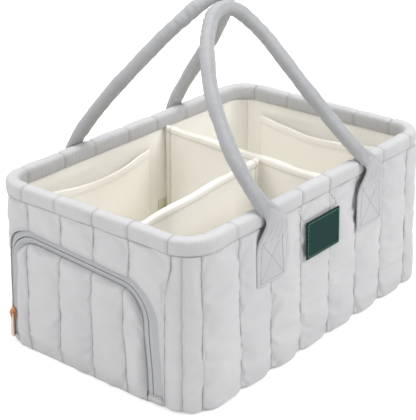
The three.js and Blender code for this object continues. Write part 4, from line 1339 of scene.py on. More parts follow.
def tab_rows(name, direction):
    """Centres, outward normals, half widths and half thicknesses from the foot upward."""
    shape = handle_shapes[name]
    above_waist = np.linspace(tab_waist, tab_settled - 4 * mm, 10)[1:]
    flat_height = np.concatenate([np.linspace(tab_foot, tab_waist, 13), above_waist])
    leaning = 1 - smooth_step(flat_height, tab_waist - 8 * mm, tab_settled)
    middle = direction * shape["half_span"] - tab_lean[name] * leaning
    reach = tub_width / 2 + crown_face + swell(flat_height) + tab_thickness / 2
    settle = smooth_step(flat_height, tab_waist, tab_settled)
    out = reach * (1 - settle) + handle_reach * settle
    flat_centre = np.stack([middle, handle_reach - out, flat_height - hinge_height], -1)
    flat_normal = np.tile([0.0, -1.0, 0.0], (len(flat_height), 1))
    narrowing = smooth_step(flat_height, tab_shoulder, tab_neck)
    flat_wide = tab_width / 2 * (1 - narrowing) + (strap_width / 2 + tab_over_handle) * narrowing
    thickening = smooth_step(flat_height, tab_waist, hinge_height)
    flat_thick = tab_thickness / 2 * (1 - thickening) + (strap_thickness / 2 + tab_over_handle) * thickening
    centre, normal, _, thick, wide, _, travelled = handle_frame(shape, 600)
    run = travelled if direction > 0 else travelled[-1] - travelled[::-1]
    order = slice(None) if direction > 0 else slice(None, None, -1)
    keep = run <= sleeve_length
    sleeve = [part[order][keep][::2] for part in (centre, normal, thick[:, 0], wide[:, 0])]
    sleeve_centre, sleeve_normal, sleeve_thick, sleeve_wide = sleeve
    proud = (1.3 * np.linspace(1, 0, len(sleeve_centre)) ** 0.7 - 0.4) * mm
    centres = np.concatenate([flat_centre, sleeve_centre])
    normals = np.concatenate([flat_normal, -sleeve_normal])
    half_thick = np.concatenate([flat_thick, sleeve_thick + proud])
    narrowing = smooth_step(sleeve_centre[:, 2] + hinge_height, tab_shoulder, tab_neck)
    sleeve_wide = tab_width / 2 * (1 - narrowing) + (sleeve_wide + proud) * narrowing
    return centres, normals, np.concatenate([flat_wide, sleeve_wide]), half_thick


def handle_tab(name, side, direction):
    """A tab lofted up from its flat foot. Its section has 17 points on each face and one on each edge."""
    centres, normals, half_wide, half_thick = tab_rows(name, direction)
    face = np.linspace(-1, 1, 17)
    outline = [(share, 1.0) for share in face] + [(1.0, 0.0)]
    outline += [(share, -1.0) for share in face[::-1]] + [(-1.0, 0.0)]
    outline = np.array(outline)
    gathered = smooth_step(centres[:, 2], tab_waist - hinge_height, 6 * mm)
    corner = 1 - 0.25 * (outline[:, 0] ** 6 * outline[:, 1] ** 2)
    round_out = np.sqrt(np.maximum(1 - (0.99 * outline[:, 0]) ** 2, 0))
    thickness = outline[:, 1] * ((1 - gathered[:, None]) * corner + gathered[:, None] * round_out)
    half_gathered = (gathered * (1 - gathered) * 4)[:, None]
    folds = np.cos(outline[:, 0] * tab_gather_turn) * tab_gather_height * half_gathered * (outline[:, 1] > 0)
    across = np.array([1.0, 0, 0])
    rings = (centres[:, None, :] + across * (outline[:, 0] * half_wide[:, None])[..., None]
             + normals[:, None, :] * (thickness * half_thick[:, None] + folds)[..., None])
    around = np.append(outline[:, 0], outline[0, 0]) * tab_width / 2
    places = np.stack(grid_of(run_of(centres), around), -1)[..., ::-1]
    # Painted shade on the tab's upper part, darkening as it gathers into the sleeve round the handle.
    mottle_and_painted_shade = 0.5 * smooth_step(centres[:, 2], tab_waist - hinge_height, sleeve_length)[:, None]
    piece = closed_tube(f"{name}_{side}_tab", to_world(name, rings), places, mottle_and_painted_shade=mottle_and_painted_shade)
    apply(piece, "SUBSURF", levels=1, render_levels=1)
    smooth(piece)
    return piece


def tab_stitches(name, side, direction):
    """A box with a cross, just inside the tab's flat part."""
    low, high = tab_foot + box_inset, tab_waist + 8 * mm
    half = tab_width / 2 - box_inset
    top_half = half - box_narrowing
    middle = direction * handle_shapes[name]["half_span"] - tab_lean[name]
    corners = [(-half, low), (half, low), (top_half, high), (-top_half, high)]
    runs = [(corners[i], corners[(i + 1) % 4]) for i in range(4)]
    runs += [(corners[0], corners[2]), (corners[1], corners[3])]
    share = np.linspace(0, 1, 12)[:, None]
    out_of_wall = np.tile([0, 1.0 if name == "back" else -1.0, 0], (len(share), 1))
    lines = []
    for start, end in runs:
        flat = np.array(start) * (1 - share) + np.array(end) * share
        heights = flat[:, 1]
        reach = tub_width / 2 + crown_face + swell(heights) + tab_thickness + 0.1 * mm
        settle = smooth_step(heights, tab_waist, tab_settled)
        out = reach * (1 - settle) + (handle_reach + strap_thickness / 2) * settle
        points = np.stack([middle + flat[:, 0], handle_reach - out, heights - hinge_height], -1)
        lines.append((to_world(name, points), out_of_wall))
    return stitches(f"{name}_{side}_tab_stitches", lines, scale=0.85)


for name, body in handle_bodies.items():
    for side, direction in (("left", -1), ("right", 1)):
        tab = handle_tab(name, side, direction)
        dress(tab, tab_cloth, "outer_cloth", f"{name}_{side}_handle_tab")
        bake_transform(tab)
        hand_over(tab_stitches(name, side, direction), thread_cloth, "outer_cloth", "tub")

# %% [markdown]
# ## The front label
#
# A small dark green patch is sewn on below the rim. It stays bare. It is a thin plate with rounded edges,
# a little full in the middle, with a line of stitches just inside its edge and two short dashed lines
# running up to the rim.

# %% Label with its stitches
label_thickness = 0.8 * mm
label_inset = 2.2 * mm
label_top = label_middle[1] + label_size[1] / 2
wall_tilt = math.atan2(flare, wall_height)
guide_lean = 11 * mm
guide_top = wall_top - 1.5 * mm


def wall_plane(name, along, offset, height):
    """Places a flat thing on a wall: its own X along the wall, Y up and Z outward."""
    wall = walls[name]
    reach = wall["reach"] + offset + swell(height)
    upright = Matrix.Translation((along, -reach, height)) @ Matrix.Rotation(math.pi / 2 - wall_tilt, 4, "X")
    return Matrix.Rotation(wall["facing"], 4, "Z") @ upright


def flat_cloth(name, width, height, thickness, columns, rows, swelling):
    """A small flat patch in its own XY plane, with rounded edges and a slightly full middle."""
    u, v = grid_of(np.linspace(-1, 1, columns), np.linspace(-1, 1, rows))
    full = swelling * (1 - u**2) * (1 - v**2)
    worn_edge = 0.3 * thickness * (np.abs(u) ** 30 + np.abs(v) ** 30)
    top = np.stack([u * width / 2, v * height / 2, thickness + full - worn_edge], -1)
    edge = np.minimum(width / 2 * (1 - np.abs(u)), height / 2 * (1 - np.abs(v)))
    # The distance to the edge goes in as the seam distance, so the material darkens the patch towards its
    # edge as painted shade, with a dark line on the very edge.
    piece = shaped_grid(name, top, np.stack([u * width / 2, v * height / 2], -1), edge)
    bottom = np.stack([u * width / 2, v * height / 2, 0 * u], -1)
    give_back(piece, bottom)
    return piece


def loop_line(half_x, half_y, height, steps=16):
    """A rectangle's outline as one run of points for each side, with the outward direction at each point."""
    corners = [(-half_x, -half_y), (half_x, -half_y), (half_x, half_y), (-half_x, half_y), (-half_x, -half_y)]
    runs = []
    for start, end in zip(corners, corners[1:]):
        share = np.linspace(0, 1, steps)[:, None]
        flat = np.array(start) * (1 - share) + np.array(end) * share
        runs.append(np.column_stack([flat, np.full(steps, height)]))
    return [(run, np.tile([0, 0, 1.0], (steps, 1))) for run in runs]


def laid(piece, place):
    """Moves a piece's mesh to its place."""
    piece.data.transform(place)
    piece.data.update()
    return piece


label_place = wall_plane("front", label_middle[0], crown_face, label_middle[1])
label = laid(flat_cloth("front_patch", *label_size, label_thickness, 34, 26, 0.5 * mm), label_place)
hand_over(label, label_cloth, "label_cloth", "tub", "front_label")
border_half = [side / 2 - label_inset for side in label_size]
border = loop_line(*border_half, label_thickness + 0.4 * mm)
label_border = laid(stitches("front_patch_stitches", border, scale=1.1), label_place)
hand_over(label_border, label_thread, "label_cloth", "tub")


def on_surface(piece, name, along, height):
    """Points on a finished wall and the way out from it, found by looking in from outside."""
    far = on_wall(walls[name], along, 40 * mm, height)
    outward = far - on_wall(walls[name], along, 39 * mm, height)
    hits = [piece.ray_cast(Vector(place), Vector(-way))[1] for place, way in zip(far, outward)]
    return np.array(hits), outward / mm


def patch_guides():
    """Two dashed lines that lean from the label's upper corners to the rim."""
    bpy.context.view_layer.update()
    lines = []
    for corner in (-label_size[0] / 2, label_size[0] / 2):
        share = np.linspace(0, 1, 14)
        along = label_middle[0] + corner - guide_lean * share
        height = label_top + (guide_top - label_top) * share
        lines.append(on_surface(wall_pieces["front"], "front", along, height))
    return stitches("front_patch_guide_stitches", lines, scale=1.0)


hand_over(patch_guides(), guide_thread, "outer_cloth", "tub")

# %% [markdown]
# ## The zip
#
# The pocket opens with a coil zip that runs up one side, over the top and down the other in an arch. It
# is set in back to front, so what shows is two smooth tapes that meet in one dark line. Each band is a
# grid that follows the arch from its outer to its inner edge.

# %% Tapes and coil
coil_gap = 0.8 * mm
coil_width = 2 * mm
tape_face = -1 * mm
tape_thickness = 1 * mm
flap_half = 84 * mm
flap_top = 116.8 * mm
flap_corner = 28 * mm


def on_pocket(points, offset):
    """Places of the arch on the wall, as they lie now."""
    along, height = sagged(points[..., 0], points[..., 1])
    return on_wall(walls["pocket_end"], along, offset + swell(height), height)


def arch_band(name, outside, inside, profile, thickness):
    """A band along the arch. The profile is its height above the seam line from outer to inner edge."""
    across = np.linspace(0, 1, len(profile))
    flat = outside[:, None, :] * (1 - across[None, :, None]) + inside[:, None, :] * across[None, :, None]
    width = np.linalg.norm(outside - inside, axis=1).mean()
    places = np.stack(grid_of(run_of(outside), across * width), -1)
    profile = np.broadcast_to(profile, flat.shape[:2])
    piece = shaped_grid(name, on_pocket(flat, profile), places)
    give_back(piece, on_pocket(flat, profile - thickness))
    return piece


def zip_line(shift):
    """The line where the tapes meet, moved outward by a shift."""
    return arch_outline(zip_half + shift, zip_top + shift, zip_corner + shift, zip_foot)


opening_reach = opening_half + edge_shift - clearance
opening_edge = arch_outline(opening_reach, opening_top - clearance, opening_corner, zip_foot)
opening_edge[:, 0] += edge_shift
flap_edge = arch_outline(flap_half + clearance, flap_top + clearance, flap_corner + clearance, zip_foot)
tape_rise = np.array([0.1, 0.2, 0.35, 0.55, 0.8, 1.1, 1.4, 1.6, 1.65, 1.3]) * mm
outer_tape = arch_band("zip_outer_band", opening_edge, zip_line(coil_gap / 2), tape_face + tape_rise,
                       tape_thickness)
inner_tape = arch_band("zip_inner_band", zip_line(-coil_gap / 2), flap_edge, tape_face + tape_rise[::-1],
                       tape_thickness)
hand_over(outer_tape, tape_cloth, "zip_tape", "tub", "zip_outer_tape")
hand_over(inner_tape, tape_cloth, "zip_tape", "pocket_flap", "zip_inner_tape")


def coil_teeth(name, side):
    """The coil behind the tape's edge: one small bead, copied along the arch."""
    middle = zip_line(side * (coil_gap / 2 + coil_width / 2))
    points = on_pocket(middle, np.full(len(middle), 0.1 * mm))
    outward = on_pocket(middle, np.full(len(middle), 1.1 * mm)) - points
    return stitches(name, [(points, outward / (1 * mm))], scale=0.45)


hand_over(coil_teeth("zip_outer_teeth", 1), coil_nylon, "zip_coil", "tub", "zip_outer_coil")
hand_over(coil_teeth("zip_inner_teeth", -1), coil_nylon, "zip_coil", "pocket_flap", "zip_inner_coil")

# %% [markdown]
# ## The pocket flap
#
# Inside the zip's arch sits a filled, quilted panel that folds down along its foot. Its channels line up
# with those of the band above. It is fuller than the walls, and its edge rolls in all round towards the
# zip.

# %% Flap
flap_face = 0.6 * mm
flap_back = -2.2 * mm
flap_crown = 2.4 * mm
flap_hollow = 3.6 * mm
flap_quilt = 4.0 * mm
flap_edge_run = 5 * mm
flap_tuck = math.radians(25)
flap_foot_fill, flap_fill_height = 0.15, 24 * mm
flap_floor = 0.3 * mm
flap_painted_shade, flap_painted_shade_width = 0.3, 2 * mm
flap_pin_width = 0.4 * mm
flap_pressure, flap_growth, flap_move = 4.0, 0.035, 3 * mm
flap_wave_height, flap_gather_height, flap_top_gather_height = 0.5 * mm, 0.35 * mm, 0.4 * mm


def flap_rows(spacing):
    """The turn of the hem at each lower row, and the upper rows as shares of what is left up to the arch."""
    turn = np.linspace(flap_tuck, math.pi / 2, 6)
    shares = np.linspace(0, 1, int((flap_top - hem_radius) / spacing))[1:]
    return turn, shares - 0.5 * np.sin(2 * np.pi * shares) / (2 * np.pi)


def flap_panel(spacing=2.6 * mm):
    """The flap's pad: laid inside the arch, puffed, capped, rippled and given a hollow back."""
    inner_seams = [end_first_seam + index * end_pitch - pocket_shift for index in range(end_seam_count)]
    seams = [-flap_half, *inner_seams, flap_half]
    across = channel_columns(seams, spacing)
    turn, shares = flap_rows(spacing)
    top = rounded_reach(across, flap_half, flap_top, flap_corner)[:, None]
    hem_offset = flare - hem_radius + hem_radius * np.sin(turn) + 0 * top
    hem_height = hem_radius * (1 - np.cos(turn)) + 0 * top
    upper = hem_radius + (top - hem_radius) * shares
    height = np.concatenate([hem_height, upper], 1)
    base_offset = np.concatenate([hem_offset, swell(upper)], 1)
    facing_out = np.concatenate([np.sin(turn), np.ones(len(shares))]) + 0 * height
    facing_down = np.sqrt(np.maximum(1 - facing_out**2, 0))
    grid_across = across[:, None] + 0 * height
    held = smooth_step(flap_half - np.abs(grid_across), 0, 20 * mm)
    wander = seam_wander * soft_waves(grid_across, height, 60 * mm, 75, 0.7) * held
    along = grid_across + wander + pocket_shift
    edge = np.maximum(-outside_arch(along, height, flap_half, flap_top, flap_corner), 0)
    rise = np.sin(np.minimum(edge / flap_edge_run, 1) * np.pi / 2) ** 0.7
    rise = rise * (flap_foot_fill + (1 - flap_foot_fill) * smooth_step(height, 0, flap_fill_height))
    fill = channel_fill(grid_across, seams)
    distance = seam_distance(grid_across, seams[1:-1])

    def raised(proud):
        """Points proud of the wall's own surface, which turns under at the hem."""
        lying_along, lying_height = sagged(along, height)
        return on_wall(walls["pocket_end"], lying_along, base_offset + proud * facing_out,
                       np.maximum(lying_height - proud * facing_down, flap_floor))

    outer = raised(flap_face + rise * (flap_crown + flap_quilt * fill))
    # Painted shade along the flap's rolled edge, where it turns in towards the zip.
    painted_shade_at_roll = flap_painted_shade * fade(edge, flap_painted_shade_width)
    piece = shaped_grid("pocket_flap_pad", outer, np.stack([grid_across, height], -1), distance, painted_shade_at_roll)
    pinned = (distance < pin_width) | (edge <= flap_pin_width)
    pinned[[0, -1], :] = True
    pinned[:, [0, 1, -1]] = True
    shaped = puffed(piece, laid_order(pinned), flap_pressure, flap_growth, flap_move)
    base = laid_order(raised(0 * fill))
    outward = laid_order(raised(0 * fill + 1 * mm)) - base
    outward /= np.maximum(np.linalg.norm(outward, axis=-1, keepdims=True), 1e-6)
    shaped = limit_offset(shaped, base, outward, laid_order(flap_face + rise * 10 * mm))
    wave = soft_waves(grid_across, height, wave_size, 71, 2.0) * flap_wave_height * rise
    by_seam = np.exp(-distance / (6 * mm)) * flap_gather_height * rise
    gather = soft_waves(grid_across, height, 8 * mm, 72, 0.6) * by_seam
    by_arch = np.exp(-edge / (6 * mm)) * flap_top_gather_height * rise
    top_gather = soft_waves(grid_across, height, 8 * mm, 73, 2.0) * by_arch
    ripples = wave * fill + (gather + top_gather) * (distance > 0.3 * mm)
    shaped = shaped + outward * laid_order(ripples)[:, None]
    shaped[:, 2] = np.maximum(shaped[:, 2], flap_floor)
    put_points(piece, shaped)
    hollow = smooth_step(height, hem_radius, 18 * mm)
    give_back(piece, raised((1 - hollow) * 0.2 * mm + hollow * (flap_back + rise * flap_hollow)), rounding=1)
    return piece


flap = flap_panel()
dress(flap, outer_cloth, "outer_cloth", "pocket_flap")
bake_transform(flap)


def zip_foot_tack(name, start, end):
    """The scrap of wall cloth below a leg of the zip, with its edges turned in."""
    along, share = grid_of(np.linspace(start, end, 12), np.linspace(0, 1, 10))
    height = opening_foot - 1 * mm + (zip_foot + 1 * mm - opening_foot) * share
    from_ends = smooth_step(np.minimum(along - start, end - along), -1 * mm, 2 * mm)
    full = np.sqrt(np.maximum(1 - (2 * share - 1) ** 4, 0)) * from_ends
    face = 0.3 * mm + 1.0 * mm * full + 0.2 * mm * soft_waves(along, height, 8 * mm, 77)
    flat = np.stack([along, height], -1)
    piece = shaped_grid(name, on_pocket(flat, face), flat, np.abs(height - zip_foot + 1 * mm))
    give_back(piece, on_pocket(flat, face * 0 - 2 * mm), rounding=1)
    return piece


for side, direction in (("left", -1), ("right", 1)):
    outer_end = opening_half + (edge_shift if direction < 0 else 2 * edge_shift) - clearance
    ends = sorted(pocket_shift + direction * half for half in (flap_half + 1 * mm, outer_end))
    tack = hand_over(zip_foot_tack(f"zip_{side}_foot_tack", *ends), outer_cloth, "outer_cloth", "tub")

# %% [markdown]
# ## Slider and pull
#
# The slider is a small copper-toned casting, and a long rose-gold tab hangs from its bridge. Their solids
# in the frame have the right outline but sharp edges, so each is copied, cleaned up and bevelled.

# %% Metal pieces
def rounded_copy(node, name, width):
    """A merged copy of a node's solid with its edges rounded."""
    source = bpy.data.objects[node]
    piece = bpy.data.objects.new(name, source.data.copy())
    bpy.context.scene.collection.objects.link(piece)
    piece.data.materials.clear()
    merge_finely = (bpy.ops.mesh.remove_doubles, {"threshold": fine_gap})
    join_flat_faces = (bpy.ops.mesh.dissolve_limited, {"angle_limit": math.radians(2)})
    edit_all(piece, merge_finely, turn_outward)
    edit_all(piece, join_flat_faces)
    apply(piece, "BEVEL", width=width, segments=3, limit_method="ANGLE", angle_limit=math.radians(35))
    smooth(piece, math.radians(40))
    return piece


slider = rounded_copy("zip_slider", "slider_casting", 0.22 * mm)
hand_over(slider, slider_metal, "slider_metal", "zip_slider", "zip_slider")
pull = rounded_copy("zip_pull", "pull_tab", 0.3 * mm)
hand_over(pull, pull_metal, "pull_metal", "zip_pull", "zip_pull")

# %% [markdown]
# ## Lining
#
# The inside is lined with cream cloth: four walls, each with its share of the corners, and a floor. The
# lining is a little too large, so it stands in shallow folds, but it lies flat where a strip or a pocket
# is sewn on.

# %% Lining walls and floor
pocket_foot = 25 * mm
pocket_top = 140 * mm
back_pocket_span = (-20 * mm, 150 * mm)
end_pocket_span = (-86 * mm, 86 * mm)
loop_foot = 14 * mm
loop_size = (26 * mm, 60 * mm)
loop_along = {"front": 33 * mm, "back": -47 * mm, "pocket_end": 38 * mm}
sewn_border = 8 * mm
lining_fold, lining_fold_size = 1.8 * mm, 70 * mm


def sewn_flat(name, along, height):
    """1 where a loop strip or a pocket is sewn to a wall's lining, fading to 0 around it."""
    mask = np.zeros(along.shape)
    if name in loop_along:
        middle = (loop_along[name], loop_foot + loop_size[1] / 2)
        mask = rectangle_mask(along, height, middle, loop_size, sewn_border)
    if name in ("back", "plain_end"):
        start, end = back_pocket_span if name == "back" else end_pocket_span
        middle = ((start + end) / 2, (pocket_foot + pocket_top) / 2)
        size = (end - start, pocket_top - pocket_foot)
        mask = np.maximum(mask, rectangle_mask(along, height, middle, size, sewn_border))
    return mask


def lining_wall(name):
    """A wall's lining and the flat size that it is cut to."""
    wall = walls[name]
    start, end = wall["start"], wall["end"]
    along = np.linspace(start, end, int((end - start) / (3 * mm)))
    height = np.linspace(floor_foot + 0.2 * mm, wall_top - 0.2 * mm, 46)
    grid_along, grid_height = grid_of(along, height)
    seed = 41 + list(walls).index(name)
    from_ends = np.minimum(grid_along - start, end - grid_along)
    edge = np.minimum(smooth_step(from_ends, 0, 12 * mm), smooth_step(wall_top - grid_height, 0, 14 * mm))
    edge = edge * (1 - sewn_flat(name, grid_along, grid_height))
    folds = smooth_step(soft_waves(grid_along, grid_height, lining_fold_size, seed, 1.8), -0.6, 1.0)
    face = room_face - folds * lining_fold * edge
    front = on_wall(wall, grid_along, face, grid_height)
    piece = shaped_grid(f"{name}_lining_cloth", front, np.stack([grid_along, grid_height], -1))
    give_back(piece, on_wall(wall, grid_along, face + 0.9 * mm, grid_height))
    return piece, (end - start, wall_top - floor_foot)


for wall_name in walls:
    piece, cut = lining_wall(wall_name)
    hand_over(piece, lining_cloth, "lining_cloth", "tub", f"{wall_name}_lining")


def lining_floor():
    """The floor's lining and the flat size that it is cut to."""
    half_length = tub_length / 2 + room_face - clearance
    half_width = tub_width / 2 + room_face - clearance
    corner = corner_radius + room_face - clearance
    x = np.linspace(-half_length, half_length, 90)
    most = rounded_reach(x, half_length, half_width, corner)
    grid_x, share = grid_of(x, np.linspace(-1, 1, 60))
    grid_y = share * most[:, None]
    rise = 0.25 * mm * soft_waves(grid_x, grid_y, 90 * mm, 55)
    top = np.stack([grid_x, grid_y, floor_top - 0.1 * mm + np.minimum(rise, 0.1 * mm)], -1)
    piece = shaped_grid("lining_floor_cloth", top, np.stack([grid_x, grid_y], -1))
    give_back(piece, np.stack([grid_x, grid_y, np.full(grid_x.shape, floor_foot)], -1))
    return piece, (2 * half_length, 2 * half_width)


floor_piece, floor_cut = lining_floor()
hand_over(floor_piece, lining_cloth, "lining_cloth", "tub", "lining_floor")

# %% [markdown]
# ## Dividers
#
# Two removable dividers split the tub: one goes across it, and one runs from the pocket's end to the
# first. Each is a stiff board in a cream sleeve. The sleeve is a rolled grid: round on top, slack on its
# faces and pinched at the ends.

# %% Divider sleeves
divider_top = 160 * mm
divider_thickness = 6 * mm
divider_foot = floor_top + clearance
divider_end = rim_centre - rim_radius - clearance
top_stitch = 7 * mm
sleeve_slack, sleeve_full, sleeve_top_wave = 1.1 * mm, 0.9 * mm, 0.5 * mm
sleeve_least = -0.6 * mm
cross_run = {"from": (33 * mm, -(tub_width / 2 + divider_end)), "to": (47 * mm, tub_width / 2 + divider_end)}
long_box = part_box("long_divider_sleeve")
long_run = {"from": (long_box[0][0], -38 * mm), "to": (long_box[1][0], -22 * mm)}


def divider_sleeve(name, run, alongx, seed):
    """A sleeve on its board, rolled from one foot over the top and down to the other."""
    start, end = np.array(run["from"]), np.array(run["to"])
    length = np.linalg.norm(end - start)
    share = np.linspace(0, 1, int(length / (3 * mm)))
    share = share - 0.04 * np.sin(2 * np.pi * share)
    half = divider_thickness / 2
    side_rows = 40
    side_heights = np.linspace(divider_foot, divider_top - half, side_rows)
    turn = np.linspace(0, np.pi, 11)[1:-1]
    height = np.concatenate([side_heights, divider_top - half + half * np.sin(turn), side_heights[::-1]])
    out = np.concatenate([np.full(side_rows, half), half * np.cos(turn), np.full(side_rows, -half)])
    u, v = grid_of(share * length, height)
    side = np.sign(out)[None, :]
    ends = smooth_step(np.minimum(u, length - u), 0, 9 * mm)
    low = smooth_step(v, divider_foot, divider_foot + 15 * mm)
    slack = soft_waves(u + 3.1 * side, v, 60 * mm, seed, 1.6) * sleeve_slack * ends * low
    full = sleeve_full * ends * low * smooth_step(np.abs(out), 0, half * 0.9)[None, :]
    near_top = smooth_step(v, divider_top - 30 * mm, divider_top)
    top_wave = soft_waves(u, 0 * v, 45 * mm, seed + 3) * sleeve_top_wave * near_top
    offset = out + side * np.maximum(full + slack, sleeve_least) * np.abs(side)
    spot = start[None, None, :] + (end - start)[None, None, :] * share[:, None, None]
    axis = np.array([0.0, 1.0]) if alongx else np.array([1.0, 0.0])
    flat = spot + axis * offset[..., None]
    rings = np.concatenate([flat, (v + top_wave)[..., None]], -1)
    run_up = np.concatenate([[0], np.cumsum(np.hypot(np.diff(height), np.diff(out)))])
    places = np.stack(grid_of(share * length, np.append(run_up, run_up[-1] + 2 * half)), -1)
    from_ends = np.minimum(u, length - u)
    seam = np.minimum(np.abs(divider_top - top_stitch - v), np.abs(from_ends - top_stitch))
    seam = np.concatenate([seam, seam[:, :1]], 1)
    return closed_tube(name, rings, places, seam)


cross_sleeve = divider_sleeve("cross_divider_cloth", cross_run, False, 81)
long_sleeve = divider_sleeve("long_divider_cloth", long_run, True, 85)
hand_over(cross_sleeve, lining_cloth, "lining_cloth", "cross_divider", "cross_divider_sleeve")
hand_over(long_sleeve, lining_cloth, "lining_cloth", "long_divider", "long_divider_sleeve")

# %% [markdown]
# ## Hook and loop strips
#
# The dividers hold to the walls with hook and loop tape. Each strip in the frame is a thin plate, so a
# fuzzy patch of the same size takes its place. Its pile is on the side that meets the other strip.

# %% Strips
strips = {
    "front_wall_loop": ("tub", 1),
    "back_wall_loop": ("tub", -1),
    "pocket_end_loop": ("tub", 1),
    "cross_divider_front_hook": ("cross_divider", -1),
    "cross_divider_back_hook": ("cross_divider", 1),
    "cross_divider_loop": ("cross_divider", -1),
    "long_divider_end_hook": ("long_divider", -1),
    "long_divider_cross_hook": ("long_divider", 1),
}


def strip_patch(node, side):
    """A patch as large as the node's box, with a rough pile on the side given by its sign."""
    low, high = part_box(node)
    size = np.array(high) - np.array(low)
    middle = (np.array(high) + np.array(low)) / 2
    thin = int(np.argmin(size))
    wide = 1 - thin
    u, v = grid_of(np.linspace(-0.5, 0.5, 24), np.linspace(-0.5, 0.5, 50))
    random = np.random.default_rng(len(node))
    pile = 0.35 * size[thin] * random.uniform(0, 1, u.shape)
    front = np.zeros((*u.shape, 3))
    front[..., wide] = u * size[wide]
    front[..., 2] = v * size[2]
    back = front.copy()
    front[..., thin] = side * (size[thin] / 2 - pile)
    back[..., thin] = -side * size[thin] / 2
    piece = shaped_grid(f"{node}_tape", front + middle, np.stack([u * size[wide], v * size[2]], -1))
    give_back(piece, back + middle)
    return piece


for node, (body, side) in strips.items():
    is_hook = node.endswith("hook")
    tape, slot = (hook_tape, "hook_strip") if is_hook else (loop_tape, "loop_strip")
    hand_over(strip_patch(node, side), tape, slot, body, node)

# %% [markdown]
# ## Inner pockets
#
# Two slack pockets are sewn to the lining: one on the back wall and one across the plain end. Each is a
# sheet that hangs away from the wall at its top edge, which is turned over and stitched.

# %% Pockets
pocket_bulge = 13 * mm
pocket_sheet = 1.2 * mm
pocket_fold, pocket_fold_size = 1.5 * mm, 40 * mm
pocket_hem, pocket_sag = 0.5 * mm, 4 * mm
hem_seam = pocket_top - 9 * mm


def inner_pocket(name, wall_name, start, end, seed):
    """A pocket's sheet, held at its sides and foot and hanging open at the top."""
    along = np.linspace(start, end, int((end - start) / (2.5 * mm)))
    height = np.linspace(pocket_foot, pocket_top, 44)
    grid_along, grid_height = grid_of(along, height)
    across = (grid_along - start) / (end - start)
    upward = (grid_height - pocket_foot) / (pocket_top - pocket_foot)
    bulge = pocket_bulge * np.sin(np.pi * across) * upward
    folds = pocket_fold * soft_waves(grid_along, grid_height, pocket_fold_size, seed, 2.5)
    fold = folds * np.sin(np.pi * across) * upward
    hem = pocket_hem * smooth_step(grid_height, pocket_top - 11 * mm, pocket_top - 10 * mm)
    sag = pocket_sag * np.sin(np.pi * across) ** 2 * upward**3
    inset = room_face - clearance - bulge - np.maximum(fold, -0.5 * mm * upward) - pocket_sheet - hem
    place = np.stack([grid_along, grid_height - sag], -1)
    front = on_wall(walls[wall_name], place[..., 0], inset, place[..., 1])
    piece = shaped_grid(name, front, np.stack([grid_along, grid_height], -1), np.abs(grid_height - hem_seam))
    behind = inset + pocket_sheet * 0.9 + hem
    give_back(piece, on_wall(walls[wall_name], place[..., 0], behind, place[..., 1]))
    return piece


back_pocket = inner_pocket("back_inner_pocket_cloth", "back", *back_pocket_span, 91)
end_pocket = inner_pocket("plain_end_inner_pocket_cloth", "plain_end", *end_pocket_span, 92)
hand_over(back_pocket, lining_cloth, "lining_cloth", "tub", "back_inner_pocket")
hand_over(end_pocket, lining_cloth, "lining_cloth", "tub", "plain_end_inner_pocket")

# %% [markdown]
# ## Behind the flap
#
# When the flap folds down, the back of the zip pocket shows: a flat piece of the outer cloth inside the
# opening.

# %% Back of the zip pocket
def pocket_back():
    """The sheet behind the flap and the flat size that it is cut to."""
    half = opening_half - clearance
    top = opening_top - clearance
    corner = opening_corner - clearance
    across = arch_columns(half, corner)
    grid_across, share = grid_of(across, np.linspace(0, 1, 44))
    height = floor_foot + (rounded_reach(across, half, top, corner)[:, None] - floor_foot) * share
    along = grid_across + pocket_shift
    face = -wadding + 0.7 * mm + 0.12 * mm * soft_waves(along, height, 50 * mm, 66)
    piece = shaped_grid("pocket_back_cloth_sheet", on_wall(walls["pocket_end"], along, face, height),
                        np.stack([along, height], -1))
    give_back(piece, on_wall(walls["pocket_end"], along, -wadding + 0 * along, height))
    return piece, (2 * half, top - floor_foot)


back_cloth, back_cut = pocket_back()
hand_over(back_cloth, outer_cloth, "outer_cloth", "tub", "pocket_back_cloth")

# %% [markdown]
# ## Hidden pieces
#
# The boards and the foam core keep their solids from the frame. They show only where a seam opens, but
# each still gets the finish of its own material.

# %% Boards and foam
def dress_node(node, material):
    """Gives a solid of the frame its finish."""
    shown = bpy.data.objects[node]
    if not shown.material_slots:
        shown.data.materials.append(material)
    for place in shown.material_slots:
        place.material = material


wall_boards = [f"{wall_name}_wall_board" for wall_name in walls]
for node in (*wall_boards, "base_board", "cross_divider_board", "long_divider_board"):
    dress_node(node, board_sheet)
dress_node("rim_foam_core", foam)

# %% [markdown]
# ## Light, floor and camera
#
# The caddy stands on a pale floor in soft studio light. The camera looks down at the corner between the
# pocket's end and the front, with a long lens.

# %% Studio
def area_light(name, place, target, size, power):
    """A round lamp that looks at a target."""
    data = bpy.data.lights.new(name, "AREA")
    data.shape = "DISK"
    data.size = size
    data.energy = power
    lamp = bpy.data.objects.new(name, data)
    lamp.location = place
    lamp.rotation_mode = "QUATERNION"
    lamp.rotation_quaternion = (Vector(target) - Vector(place)).to_track_quat("-Z", "Y")
    bpy.context.scene.collection.objects.link(lamp)


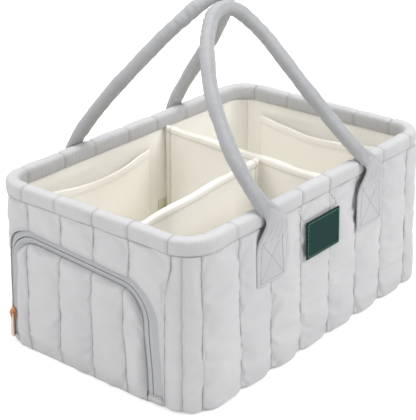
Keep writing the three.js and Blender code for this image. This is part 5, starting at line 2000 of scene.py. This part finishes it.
world_level = 0.44
floor_glow = 0.45
tub_middle = (0, 0, 0.1)
area_light("Key", (0.6, -1.45, 1.3), tub_middle, 0.9, 16)
area_light("Fill", (-1.35, 0.5, 1.15), tub_middle, 1.2, 9.5)
area_light("Top", (0.1, 0.1, 1.8), tub_middle, 1.0, 14)


def studio_world():
    """A pale world: white to the camera and in mirrors, dimmer as light."""
    world = bpy.data.worlds.new("Studio")
    world.use_nodes = True
    bpy.context.scene.world = world
    tree = world.node_tree
    background = tree.nodes["Background"]
    path = add_node(tree, "ShaderNodeLightPath")
    seen = calc(tree, "MAXIMUM", path.outputs["Is Camera Ray"], path.outputs["Is Glossy Ray"])
    seen = calc(tree, "MAXIMUM", seen, path.outputs["Is Transmission Ray"])
    tree.links.new(blend_colors(tree, seen, (world_level,) * 3, (1.0, 1.0, 1.0)), background.inputs["Color"])
    background.inputs["Strength"].default_value = 1.0


def studio_floor():
    """A pale floor that glows a little to the camera, so it meets the white backdrop."""
    bpy.ops.mesh.primitive_plane_add(size=40, location=(0, 0, 0))
    ground = bpy.context.object
    ground.name = "studio_floor"
    material, tree, shader = blank_material("Floor", 0.9)
    shader.inputs["Base Color"].default_value = (0.86, 0.86, 0.86, 1)
    shader.inputs["Specular IOR Level"].default_value = 0.1
    path = add_node(tree, "ShaderNodeLightPath")
    glow = calc(tree, "MULTIPLY", path.outputs["Is Camera Ray"], floor_glow)
    glow_color = blend_colors(tree, glow, (0.0, 0.0, 0.0), (1.0, 1.0, 1.0))
    tree.links.new(glow_color, shader.inputs["Emission Color"])
    shader.inputs["Emission Strength"].default_value = 1.0
    ground.data.materials.append(material)


studio_world()
studio_floor()

camera_data = bpy.data.cameras.new("Camera")
focal_pixels = 1310
image_height_pixels = 420
camera_data.sensor_width = 36
camera_data.lens = focal_pixels * camera_data.sensor_width / image_height_pixels
camera = bpy.data.objects.new("Camera", camera_data)
camera.location = (-0.9563, -0.7650, 0.6472)
camera.rotation_mode = "QUATERNION"
camera.rotation_quaternion = Vector((0.70853, 0.57869, -0.40386)).to_track_quat("-Z", "Y")
bpy.context.scene.collection.objects.link(camera)
bpy.context.scene.camera = camera
bpy.context.scene.view_settings.view_transform = "Standard"
